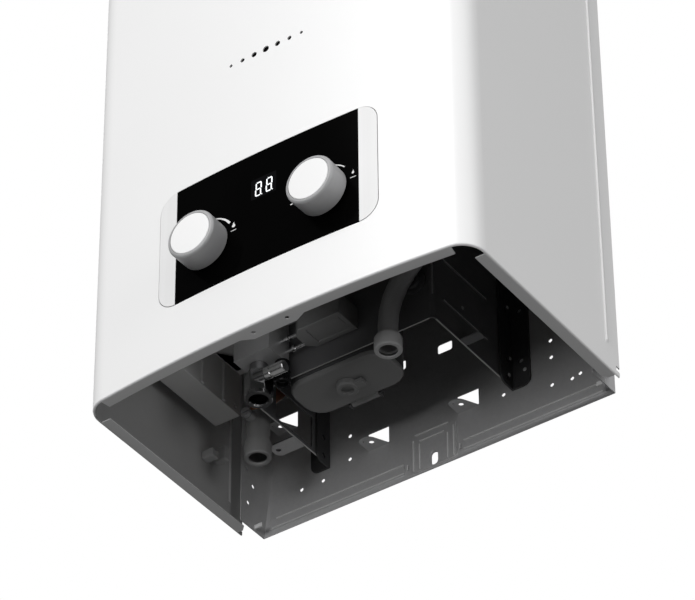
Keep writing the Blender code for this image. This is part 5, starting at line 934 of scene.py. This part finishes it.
class HEATER_OT_panel(bpy.types.Operator):
    """Make the control panel: silver frame, black glass, display, digits and printed marks"""

    bl_idname = "heater.panel"
    bl_label = "Control panel"

    def execute(self, context):
        sizes = context.scene.heater_sizes
        half, low, gap = sizes.glass_width / 2, sizes.panel_bottom, 0.0001
        high = low + sizes.panel_height
        rim = panel_blank("silver_frame", 0.0, -0.0004, 0.004).off()
        carved(rim, plate_on_front("pocket", -half, half, low - 0.004, high + 0.004, -0.003, 0.0014))
        stand_in(rounded_edges(rim, 0.00025, 2, 50), "silver", "panel_frame", 40)
        glass = plate_on_front("black_glass", gap - half, half - gap, low + gap, high - gap, -0.0004, 0.0011)
        glass = glass.off()
        for knob in ("left_knob", "right_knob"):
            middle = middle_of(knob)
            carved(glass, drum("hole", (middle.x, front_y(middle.x), middle.z), "Y", 0.006, 0.02))
        stand_in(rounded_edges(glass, 0.0002, 2, 50), "panel_glass", "panel_glass", 40)
        window = plate_on_front("display_window", -0.0117, 0.0103, 0.1116, 0.130, -0.00046, 0.0003, 0.0012)
        stand_in(window, "lens", "display_lens", 40)
        placed(self.digits(sizes.digit_height), "digits")
        placed(self.marks(), "print_white")
        return {"FINISHED"}

    def digits(self, tall):
        """Two slanted digits of seven bars each, with their points."""
        lefts, reach, trim = (-0.0078, 0.0015), tall / 2, DIGIT_THICK * 0.3
        point = drum("point", (0, 0, 0), "Y", 0.00045, 0.00015, 12)
        point.pick("FACE", facing=-Y).inset(0.0001, -0.00002)
        sides = [left + wide for left in lefts for wide in (0, DIGIT_WIDE)]
        bars = []
        for master, places in (
            (self.bar(DIGIT_THICK, reach - trim),
             [(x, reach * share) for x in sides for share in (0.5, 1.5)]),
            (self.bar(DIGIT_WIDE - trim, DIGIT_THICK),
             [(left + DIGIT_WIDE / 2, z) for left in lefts for z in (0.0, reach, tall)]),
            (point.piece, [(left + DIGIT_WIDE + POINT_GAP, 0.0) for left in lefts]),
        ):
            slanted = [(x + z * DIGIT_SLANT, BOTTOM + DIGIT_LEVEL + z) for x, z in places]
            bars += copies(master, [(x, front_y(x) - MARK_LIFT, z) for x, z in slanted])
        return joined("digit_bars", bars)

    def bar(self, width, height):
        """Bar of a digit with pointed ends."""
        size = (width, MARK_THICK, height)
        bench = laid("bar", bpy.ops.mesh.primitive_cube_add, size=1, location=(0, 0, 0), scale=size)
        return bench.pick("EDGE", along=Y).bevel(DIGIT_THICK * 0.45, 1).off()

    def marks(self):
        """Turning arcs beside the knobs, two drops over a short dash each, and a bar below the display."""
        pieces = [self.arc(side * KNOB_PLACE, *arc) for side, *arc in ARCS]
        half, below, wide = DROP_DASH
        for x, z, size in DROPS:
            pieces += [self.drop(x, z, size), self.dash(x - half, x + half, z - below, wide)]
        return joined("printed_marks", [*pieces, self.dash(*DISPLAY_BAR)])

    def arc(self, middle, start, end, wide, share):
        """Part of a ring beside a knob that narrows to a share of its width."""
        centre = Vector((middle, front_y(middle), BOTTOM + KNOB_LEVEL))
        start, end = radians(start), radians(end)
        first = Vector((cos(end), 0, sin(end)))

        def across(point):
            """Point of the plane's edge, laid across the ring."""
            return centre + first * (ARC_RADIUS + (wide * share if point.x > 0 else 0))

        def tapered(point):
            """Point of the ring, moved onto the glass and to the width that it has there."""
            away = point - centre
            grown = (end - atan2(away.z, away.x)) / (end - start)
            if away.length > ARC_RADIUS + wide * share / 2:
                point = centre + away.normalized() * (ARC_RADIUS + wide * (share + (1 - share) * grown))
            return Vector((point.x, front_y(point.x) - MARK_LIFT, point.z))

        bench = laid("arc", bpy.ops.mesh.primitive_plane_add, size=1, location=(0, 0, 0))
        bench.pick("VERT", lambda p: p.y > 0).remove("VERT").reshape(across).all()
        bpy.ops.mesh.spin(steps=14, angle=end - start, center=centre, axis=(0, -1, 0))
        return finished(bench.all().reshape(tapered).weld().off(), "SOLIDIFY", thickness=0.0001, offset=0)

    def drop(self, x, z, size):
        """Drop shape drawn up to a point."""
        bench = drum("drop", (x, front_y(x) - MARK_LIFT, BOTTOM + z), "Y", size * 0.62, MARK_THICK, 12)
        bench.pick("VERT", lambda p: p.z > BOTTOM + z + size * 0.6).move((size * 0.15, 0, size * 0.9))
        return bench.off()

    def dash(self, left, right, z, wide):
        """Short dash."""
        low, high = z - wide / 2, z + wide / 2
        return plate_on_front("dash", left, right, low, high, -0.00058, -0.00042, wide * 0.3).off()


# How far a knob stands out from the front, and profiles of its pieces: radius and depth
SKIRT_REACH = 0.0203
SKIRT_BACK = mm(
    (3.2, -13), (3.2, -1.8), (6, -1.8), (6, -10), (17.2, -10), (17.2, -1.8), (19.3, -1.8), (19.7, -2.2)
)
SKIRT_FACE = mm((17.25, -20.3), (17.1, -20), (17.1, -18.8), (1.6, -18.8))
FACE_DISC = mm((16.9, -19), (16.9, -20.1), (16.6, -20.45), (11, -20.6), (4, -20.6))
BUSH = mm((3.3, -0.2), (8.2, -0.2), (8.5, 0.1), (8.5, 1), (6, 1), (6, 8.8), (5.6, 9.2), (3.3, 9.2))


class HEATER_OT_knobs(bpy.types.Operator):
    """Turn the two knobs with their rounded rims, face discs, spindles and bushes"""

    bl_idname = "heater.knobs"
    bl_label = "Knobs"

    def execute(self, context):
        sizes = context.scene.heater_sizes
        rim, curve = sizes.knob_radius, sizes.knob_round
        turns = [pi / 12 * i for i in range(7)]
        edge = [(rim - curve * (1 - cos(turn)), -SKIRT_REACH + curve * (1 - sin(turn))) for turn in turns]
        skirt = [*SKIRT_BACK, *edge, *SKIRT_FACE]
        for side in ("left", "right"):
            middle = middle_of(side + "_knob")
            centre = (middle.x, front_y(middle.x), middle.z)
            stand_in(turned(side + "_knob_skirt", centre, "Y", skirt, 64), "skirt", side + "_knob")
            stand_in(turned(side + "_face_disc", centre, "Y", FACE_DISC, 64), "knob_face", side + "_knob_cap")
            low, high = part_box(side + "_spindle")
            radius, end, bevel = (high.x - low.x) / 2, (high.y - low.y) / 2, 0.0004
            rod = [
                (radius - bevel, -end), (radius, bevel - end), (radius, end - bevel), (radius - bevel, end),
            ]
            spindle = turned(side + "_turned_spindle", (low + high) / 2, "Y", rod, 24)
            stand_in(spindle, "steel", side + "_spindle", 40)
            bush = turned(side + "_guide_bush", centre, "Y", BUSH, sizes.round_count, closed=True)
            stand_in(bush, "dark_plastic", side + "_bush", 40)
        return {"FINISHED"}


# Middle and top of the bent flap in each window of the back plate
WINDOWS = ((30, 40.2), (-48.8, 40.2), (-131, 90.2))
# Silver strips along the beads and the pad on one half of the back plate, painted highlights on their ridges:
# left, right, low, high
HALF_RIDGE_HIGHLIGHTS = (
    (26.2, 140, 12.2, 12.9), (26.2, 144, 4.4, 5.1), (22.4, 23.1, 6.4, 10.8), (17.2, 17.9, 3, 30),
    (11.9, 12.5, 3, 25.6),
)
PAD_RIDGE_HIGHLIGHTS = ((-16, 13, 34, 34.7), (-12, 9.2, 27.8, 28.4))


class HEATER_OT_back_plate(bpy.types.Operator):
    """Finish the pressed back plate with its round ridges, silver strips painted along them as highlights,
    and the bent flaps of its windows
    """

    bl_idname = "heater.back_plate"
    bl_label = "Back plate"

    def execute(self, context):
        plate = copied("back_plate", "pressed_back_plate", flat=False)
        for x, top in WINDOWS:
            carved(plate, box_on_bench(
                "flap_cutter", spot(x - 9.5, -17.5, top - 1.3), spot(x + 9.5, -0.84, top + 0.2)
            ))
        Bench(plate).choose("EDGE", lambda edge: (
            all(abs(vert.co.y + 0.0020) < TOUCH for vert in edge.verts)
            and len(edge.link_faces) == 2 and edge.calc_face_angle() > 1
        )).bevel(0.0010)
        plate = joined("pressed_back_plate", [plate, *(self.flap(x, top) for x, top in WINDOWS)])
        stand_in(plate, "zinc", "back_plate")
        mirrored = [(-right, -left, low, high) for left, right, low, high in HALF_RIDGE_HIGHLIGHTS]
        ridge_highlights = (*HALF_RIDGE_HIGHLIGHTS, *PAD_RIDGE_HIGHLIGHTS, *mirrored)
        corners = [((left, -2.7, low), (right, -1.7, high)) for left, right, low, high in ridge_highlights]
        # Silver strips along the ridges: painted highlights
        strips("back_plate_ridge_edges", "silver", corners)
        return {"FINISHED"}

    def flap(self, x, top):
        """Bent tab under a window, with rounded tips and two holes."""
        left, right, tip, root = x - 8.9, x + 8.9, -16.3, -0.7
        bench = box_on_bench("flap", spot(left, tip, top - 1), spot(right, root, top)).all()
        bpy.ops.mesh.bisect(
            plane_co=spot(right, root, 0), plane_no=(0.895, -0.445, 0), use_fill=True, clear_outer=True
        )
        bench.pick("EDGE", lambda p: p.y < tip / 1000 + TOUCH, along=Z).bevel(0.0042, 5)
        holes = [
            drum("hole", spot(left + dx, y, top), "Z", radius, 0.01, 16)
            for dx, y, radius in ((7.8, -8.5, 0.0020), (3.5, -12.5, 0.0007))
        ]
        return rounded_edges(carved(bench.off(), *holes), 0.0002)


def screw(name, place, axis, radius):
    """Cross-head pan screw on a face that looks down an axis."""
    rise = -radius * 0.62
    profile = [(radius, 0.0), (radius, rise * 0.45), (radius * 0.86, rise * 0.8), (radius * 0.5, rise)]
    piece = turned(name, place, axis, profile, 20).off()
    along = AXES[axis][0]
    others = [way for way in (X, Y, Z) if way != along]
    for long_way, short_way in (others, others[::-1]):
        half = long_way * radius * 0.55 + short_way * radius * 0.13 + along * radius * 0.25
        middle = Vector(place) + along * rise
        carved(piece, box_on_bench("slot", middle - half, middle + half))
    placed(piece, "steel")


# Profiles of the rivet heads and of the round guide, opposite corners of the pale strips along the sheet's
# lower edges, and opposite corners of the painted highlights along the chassis's two ribs and its front right
# corner
RIVET = mm((1.6, 0), (1.6, 0.2), (1.2, 0.6), (0.6, 0.8))
GUIDE = mm((9.5, 0), (9.5, -1.2), (8.5, -2), (6.2, -2.4), (5.8, -4.6), (5, -5.2))
CUT_EDGES = (
    ((-95, -98, 42.7), (-93.9, -4.6, 42.9)), ((-91, -102.1, 42.7), (64, -101, 42.9)),
    ((66.9, -98, 42.7), (68, -4.6, 42.9)),
)
CHASSIS_HIGHLIGHTS = (
    ((68.8, -89.5, 64.8), (69.1, -33, 65.8)), ((68.8, -89.5, 102.1), (69.1, -33, 103.1)),
    ((66.5, -101.3, 64), (67.3, -100.5, 95)),
)


class HEATER_OT_chassis(bpy.types.Operator):
    """Finish the chassis with its feet, rivets and guide, and its two angle brackets"""

    bl_idname = "heater.chassis"
    bl_label = "Chassis and brackets"

    def execute(self, context):
        edge_round = context.scene.heater_sizes.edge_round
        soften("chassis", "folded_chassis", "dark_sheet", edge_round)
        strips("chassis_cut_edges", "plastic", CUT_EDGES)
        # Zinc strips along the chassis's ribs and its front right corner: painted highlights
        strips("chassis_ridge_edges", "zinc", CHASSIS_HIGHLIGHTS)
        self.feet()
        self.rivets()
        place = spot(53.2, -102.1, 79)
        placed(turned("round_guide", place, "Y", GUIDE, 32), "dark_plastic")
        screw("guide_screw", place - Y * 0.0052, "Y", 0.0026)
        for side in ("left", "right"):
            soften(side + "_bracket", side + "_angle_bracket", "black_paint", edge_round)
        return {"FINISHED"}

    def feet(self):
        """Plates of the chassis's two feet."""
        left = box_on_bench("left_foot_plate", spot(-118, -44, 42.4), spot(-95.2, -30, 42.9))
        left = left.pick("EDGE", lambda p: p.x < -0.117, along=Z).bevel(0.0046, 5).off()
        carved(left, drum("hole", spot(-113.3, -37, 42.7), "Z", 0.0020, 0.004, 16))
        placed(left, "zinc")
        right = box_on_bench("right_foot_plate", spot(67.8, -68.4, 42.9), spot(84.3, -60, 43.9))
        right.pick("EDGE", lambda p: p.x > 0.084, along=Z).bevel(0.002, 4)
        placed(rounded_edges(right.off(), 0.0002), "dark_sheet")

    def rivets(self):
        """Rivet heads on the right bracket and on the chassis beside it."""
        places = [(69.9, -6.2, 111.8), (69.9, -5, 65.3), (69.9, -7.2, 49.1), (68, -64, 74.8)]
        heads = copies(turned("rivet", (0, 0, 0), "X", RIVET, 12).off(), [spot(*place) for place in places])
        lying = [(radius, -height) for radius, height in RIVET]
        heads.append(turned("rivet", spot(80.6, -2.7, 52.2), "Y", lying, 12).off())
        placed(joined("bracket_rivets", heads), "zinc")


def pipe(name, corners, bends, radius, count, wall):
    """Draw a pipe from a ring: extrude each straight run and spin each bend."""
    ahead = (corners[1] - corners[0]).normalized()
    bench = laid(
        name, bpy.ops.mesh.primitive_circle_add, vertices=count, radius=radius, location=corners[0],
        rotation=ahead.to_track_quat("Z", "Y").to_euler(), fill_type="NOTHING",
    ).all()
    place = corners[0]
    for before, corner, after, bend in zip(corners, corners[1:], corners[2:], bends):
        come, go = (corner - before).normalized(), (after - corner).normalized()
        turn = come.angle(go)
        reach = bend * tan(turn / 2)
        start = corner - come * reach
        if (start - place).length > TOUCH:
            bench.extrude(start - place)
        axis = come.cross(go).normalized()
        centre = start + axis.cross(come) * bend
        bpy.ops.mesh.spin(steps=max(3, round(turn / BEND_STEP)), angle=-turn, center=centre, axis=axis)
        place = corner + go * reach
    bench.extrude(corners[-1] - place).all()
    bpy.ops.mesh.remove_doubles(threshold=MERGE)
    if not wall:
        bench.all()
        bpy.ops.mesh.fill_holes(sides=0)
    piece = bench.weld().off()
    return finished(piece, "SOLIDIFY", thickness=wall, offset=-1) if wall else piece


# Name, finish, solid, bend radii, radius, sides, wall and route of each pipe; one without a wall is filled
PIPES = (
    ("hot_water_pipe", "pipe_steel", "hot_outlet_pipe", (0.060, 0.024, 0.024), 0.0073, 32, 0.0012,
     ((39.3, -117.1, 18.4), (39.3, -117.1, 62), (97.7, -117.1, 122), (98, -29.05, 200), (98, -29.05, 329.7))),
    ("cold_water_pipe", "copper", "cold_pipe", (0.012,) * 5, 0.0063, 24, 0.0,
     ((-110, -67, 54.1), (-110, -67, 64.1), (-103, -49, 86.1), (-103, -49, 205), (-103, -150, 205),
      (51.2, -150, 205), (51.2, -150, 112.1))),
    ("cold_riser_pipe", "copper", "cold_riser", (0.012,) * 3, 0.0063, 24, 0.0,
     ((74.6, -150, 88.8), (88.6, -150, 88.8), (88.6, -150, 138.9), (75.4, -109.45, 138.9),
      (75.4, -109.45, 189))),
)


class HEATER_OT_pipes(bpy.types.Operator):
    """Bend the water pipes"""

    bl_idname = "heater.pipes"
    bl_label = "Pipes"

    def execute(self, context):
        for name, finish, node, *sizes, route in PIPES:
            stand_in(pipe(name, [spot(*corner) for corner in route], *sizes), finish, node, 45)
        return {"FINISHED"}


# Profiles of the fittings: radius and height
COLD_FITTING = mm(
    (6.6, 16.5), (7, 15.3), (7.8, 14.9), (9.2, 14.9), (9.9, 15.7), (10, 27.5), (9.6, 28.7), (8.6, 29.5),
    (8.4, 36), (8.8, 37.2), (8.8, 53.8), (4, 53.8), (4, 37.6), (6.6, 37.6),
)
GAS_FITTING = mm(
    (6.6, 20.7), (7.4, 19.5), (9.6, 19.5), (10.2, 20.1), (10.2, 23.2), (9.6, 23.6), (7, 23.8), (7, 50),
    (3, 50), (3, 43.5), (6.6, 43.5),
)
PORT_CAP = mm(
    (4.2, 0), (4.7, 0.6), (4.7, 5), (4.2, 5.4), (4.2, 6.4), (4.7, 6.8), (4.7, 16.6), (4.3, 17.2), (3, 17.4)
)
PLUG = mm((3.6, 4.2), (4.2, 3.8), (4.2, 0.4), (4.6, 0), (5.6, 0), (6.2, 0.7), (6.2, 10), (5.6, 10.5))
UNION_NUT = mm(
    (6.6, 0.6), (7.1, 0), (9.4, 0), (10.2, 1), (10.2, 10.4), (9.8, 11.2), (8.8, 13), (8.4, 13.4), (7.6, 13.4),
    (7.6, 3.4), (6.6, 3.4),
)


class HEATER_OT_fittings(bpy.types.Operator):
    """Turn the cold inlet, the gas inlet, the test cap, the plug, the drain screw and the union nut"""

    bl_idname = "heater.fittings"
    bl_label = "Fittings"

    def execute(self, context):
        count = context.scene.heater_sizes.round_count
        cold = turned("cold_fitting", spot(-110, -67, 0), "Z", COLD_FITTING, count, closed=True).off()
        carved(cold, drum("boss", spot(-110, -76.5, 47.8), "Y", 0.0042, 0.008), operation="UNION")
        stand_in(cold, "plated", "cold_inlet_fitting")
        self.gas_fitting(count)
        left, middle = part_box("test_port_cap")[0].x, middle_of("test_port_cap")
        cap = turned("port_cap", (left, middle.y, middle.z), "X", PORT_CAP, count)
        stand_in(cap, "chrome", "test_port_cap")
        low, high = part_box("strainer_plug")
        plug = upright("round_plug", "strainer_plug", [*PLUG, (0.0056, high.z - low.z)])
        stand_in(plug, "dark_steel", "strainer_plug")
        stand_in(upright("union_nut", "hot_outlet_nut", UNION_NUT, closed=True), "nut_grey", "hot_outlet_nut")
        soften("drain_screw", "slotted_drain_screw", "steel", 0.0003)
        return {"FINISHED"}

    def gas_fitting(self, count):
        """Gas inlet: open ring below, hex above with rounded corners, bore and the boss of the test port."""
        place = spot(-72, -118.6, 0)
        body = turned("gas_fitting", place, "Z", GAS_FITTING, count, closed=True).off()
        hexagon = drum("hexagon", place + Z * 0.0325, "Z", 0.0108, 0.018, 6)
        hexagon.pick("EDGE", along=Z).bevel(0.0006, 2)
        hexagon = hexagon.pick("FACE", facing=-Z).inset(0.0010).move((0, 0, -0.0005)).off()
        boss = drum("boss", spot(-65.5, -125.1, 34.3), "X", 0.0046, 0.0084).off()
        for part in (hexagon, boss):
            carved(part, drum("bore", place + Z * 0.03, "Z", 0.0069, 0.04, count))
        stand_in(carved(body, hexagon, boss, operation="UNION"), "dark_chrome", "gas_inlet_fitting")


def upright(name, node, profile, closed=False, count=None):
    """Turn a profile round the upright axis of a solid, from its foot."""
    middle = middle_of(node)
    place = (middle.x, middle.y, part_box(node)[0].z)
    return turned(name, place, "Z", profile, count or bpy.context.scene.heater_sizes.round_count, closed)


# Profile of a cell: radius and height
CELL = mm(
    (15, 0), (16.2, 0.4), (16.5, 1.2), (16.5, 58.8), (16, 59.8), (4.5, 60), (4, 60.3), (4, 61.2), (3.6, 61.5)
)


class HEATER_OT_battery_box(bpy.types.Operator):
    """Finish the battery box, its lid, latch and cells"""

    bl_idname = "heater.battery_box"
    bl_label = "Battery box"

    def execute(self, context):
        soften("battery_box", "moulded_battery_box", "dark_plastic", 0.0005)
        soften("battery_lid", "moulded_lid", "lid_grey", 0.0004)
        soften("lid_latch", "twist_latch", "lid_grey", 0.0006, 3)
        for side in ("left", "right"):
            stand_in(upright(side + "_cell", side + "_battery", CELL), "cell", side + "_battery")
        return {"FINISHED"}


# Depth, height and radius of each rod of the gas valve, and the circle of the diaphragm cover's screws
RODS = ((-110, 60.5, 0.0017), (-118.5, 64, 0.0014), (-132, 70, 0.0020))
SCREW_CIRCLE = 0.0195


class HEATER_OT_valves(bpy.types.Operator):
    """Finish the gas and water valves, the solenoid, the switch and the push rod between them"""

    bl_idname = "heater.valves"
    bl_label = "Valves"

    def execute(self, context):
        gas_valve = copied("gas_valve_body", "cast_gas_valve")
        carved(gas_valve, box_on_bench("corner_cutter", spot(-53, -190, 45), spot(-20, -100, 86)))
        stand_in(rounded_edges(gas_valve, 0.0012), "die_cast", "gas_valve_body")
        soften("solenoid_coil", "wound_coil", "dark_plastic", 0.0005)
        soften("solenoid_core", "coil_core", "steel", 0.0003)
        soften("microswitch", "moulded_switch", "dark_plastic", 0.0004)
        soften("switch_button", "round_switch_button", "red_plastic", 0.0002)
        soften("push_rod", "turned_push_rod", "steel", 0.0003)
        soften("water_valve_body", "cast_water_valve", "die_cast", 0.0008)
        soften("diaphragm_cover", "cast_diaphragm_cover", "die_cast", 0.0006)
        flange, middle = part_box("diaphragm_cover")[0].x + 0.0050, middle_of("diaphragm_cover")
        for i in range(6):
            turn = radians(60 * i + 30)
            place = (flange, middle.y + SCREW_CIRCLE * cos(turn), middle.z + SCREW_CIRCLE * sin(turn))
            screw("flange_screw", place, "X", 0.0024)
        for y, z, radius in RODS:
            collar = radius * 1.7
            rod = turned("valve_rod", spot(-54, y, z), "X", [
                (radius, 0.0), (radius, 0.0060), (collar, 0.0064), (collar, 0.0086), (radius, 0.0090),
                (radius, 0.0164), (radius * 0.7, 0.0170),
            ], 20)
            placed(rod, "chrome", smooth=30)
        return {"FINISHED"}


class HEATER_OT_electrics(bpy.types.Operator):
    """Finish the igniter, the control box, the board, the leads and the electrodes"""

    bl_idname = "heater.electrics"
    bl_label = "Electrics"

    def execute(self, context):
        soften("igniter_box", "moulded_igniter", "igniter_grey", 0.0007)
        soften("control_box", "moulded_control_box", "plastic", 0.0009)
        soften("control_bracket", "folded_control_bracket", "zinc", 0.0003)
        soften("ignition_electrode", "ceramic_electrode", "ceramic", 0.0003)
        soften("flame_sensor", "ceramic_sensor", "ceramic", 0.0003)
        soften("overheat_thermostat", "disc_thermostat", "steel", 0.0004)
        soften("window_clip", "sheet_window_clip", "zinc", 0.0002)
        dressed("lead", "ignition_lead", "sensor_lead", "display_harness")
        dressed("board", "control_board")
        dressed("dark_plastic", "display_module")
        dressed("mica", "flame_window")
        wall = (context.scene.heater_sizes.sheet - context.scene.heater_sizes.width / 2) * 1000
        for (low_y, low_z), (high_y, high_z) in (((-64, 40), (-56, 47)), ((-49, 46), (-43, 58))):
            clip = box_on_bench("wire_clip", spot(wall, low_y, low_z), spot(wall + 10.5, high_y, high_z))
            placed(rounded_edges(clip.off(), 0.0012, 3), "nut_grey")
        return {"FINISHED"}


class HEATER_OT_burner(bpy.types.Operator):
    """Finish the burner, the manifold, the combustion chamber and the heat exchanger"""

    bl_idname = "heater.burner"
    bl_label = "Burner and exchanger"

    def execute(self, context):
        dressed("steel", "burner")
        dressed("turned_brass", "gas_manifold")
        dressed("copper", "gas_pipe", "exchanger_tube")
        dressed("fired_copper", "exchanger_fins")
        for node in ("combustion_chamber", "exchanger_shell"):
            soften(node, "copper_" + node, "fired_copper", 0.0004)
        return {"FINISHED"}


# Profile of the flue collar below its rim: radius and height
COLLAR_FOOT = mm(
    (55.2, 0), (64.5, 0), (65, 0.4), (65, 2.2), (57, 2.4), (55.4, 3.6), (55, 5.2), (55, 30), (55.3, 31.2),
    (55.8, 32.2), (55.3, 33.2), (55, 34.4),
)


class HEATER_OT_flue(bpy.types.Operator):
    """Roll the flue collar over the draft hood"""

    bl_idname = "heater.flue"
    bl_label = "Flue"

    def execute(self, context):
        dressed("zinc", "draft_hood")
        low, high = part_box("flue_collar")
        height = high.z - low.z
        rim = [
            (0.0550, height - 0.0004), (0.0546, height), (0.0542, height), (0.0540, height - 0.0003),
            (0.0540, 0.0010),
        ]
        collar = upright("rolled_collar", "flue_collar", [*COLLAR_FOOT, *rim], closed=True, count=96)
        stand_in(collar, "zinc", "flue_collar", 35)
        return {"FINISHED"}


class HEATER_PT_sidebar(bpy.types.Panel):
    """Sizes, colours and steps of the heater"""

    bl_idname = "HEATER_PT_sidebar"
    bl_label = "Tankless water heater"
    bl_space_type = "VIEW_3D"
    bl_region_type = "UI"
    bl_category = "Heater"

    def draw(self, context):
        for settings in (context.scene.heater_sizes, context.scene.heater_colours):
            box = self.layout.box()
            for name in settings.__annotations__:
                box.prop(settings, name)
        for step in STEPS:
            self.layout.operator(step.bl_idname)


STEPS = (
    HEATER_OT_stage, HEATER_OT_cover, HEATER_OT_panel, HEATER_OT_knobs, HEATER_OT_back_plate,
    HEATER_OT_chassis, HEATER_OT_pipes, HEATER_OT_fittings, HEATER_OT_battery_box, HEATER_OT_valves,
    HEATER_OT_electrics, HEATER_OT_burner, HEATER_OT_flue,
)
CLASSES = (HeaterSizes, HeaterColours, *STEPS, HEATER_PT_sidebar)


def main():
    """Build everything in order."""
    register()
    for step in STEPS:
        getattr(bpy.ops.heater, step.bl_idname.split(".")[1])()


def register():
    """Register the classes and the settings."""
    for cls in CLASSES:
        bpy.utils.register_class(cls)
    bpy.types.Scene.heater_sizes = PointerProperty(type=HeaterSizes)
    bpy.types.Scene.heater_colours = PointerProperty(type=HeaterColours)


def unregister():
    """Remove the classes and the settings."""
    del bpy.types.Scene.heater_colours
    del bpy.types.Scene.heater_sizes
    for cls in reversed(CLASSES):
        bpy.utils.unregister_class(cls)


if __name__ == "__main__":
    main()
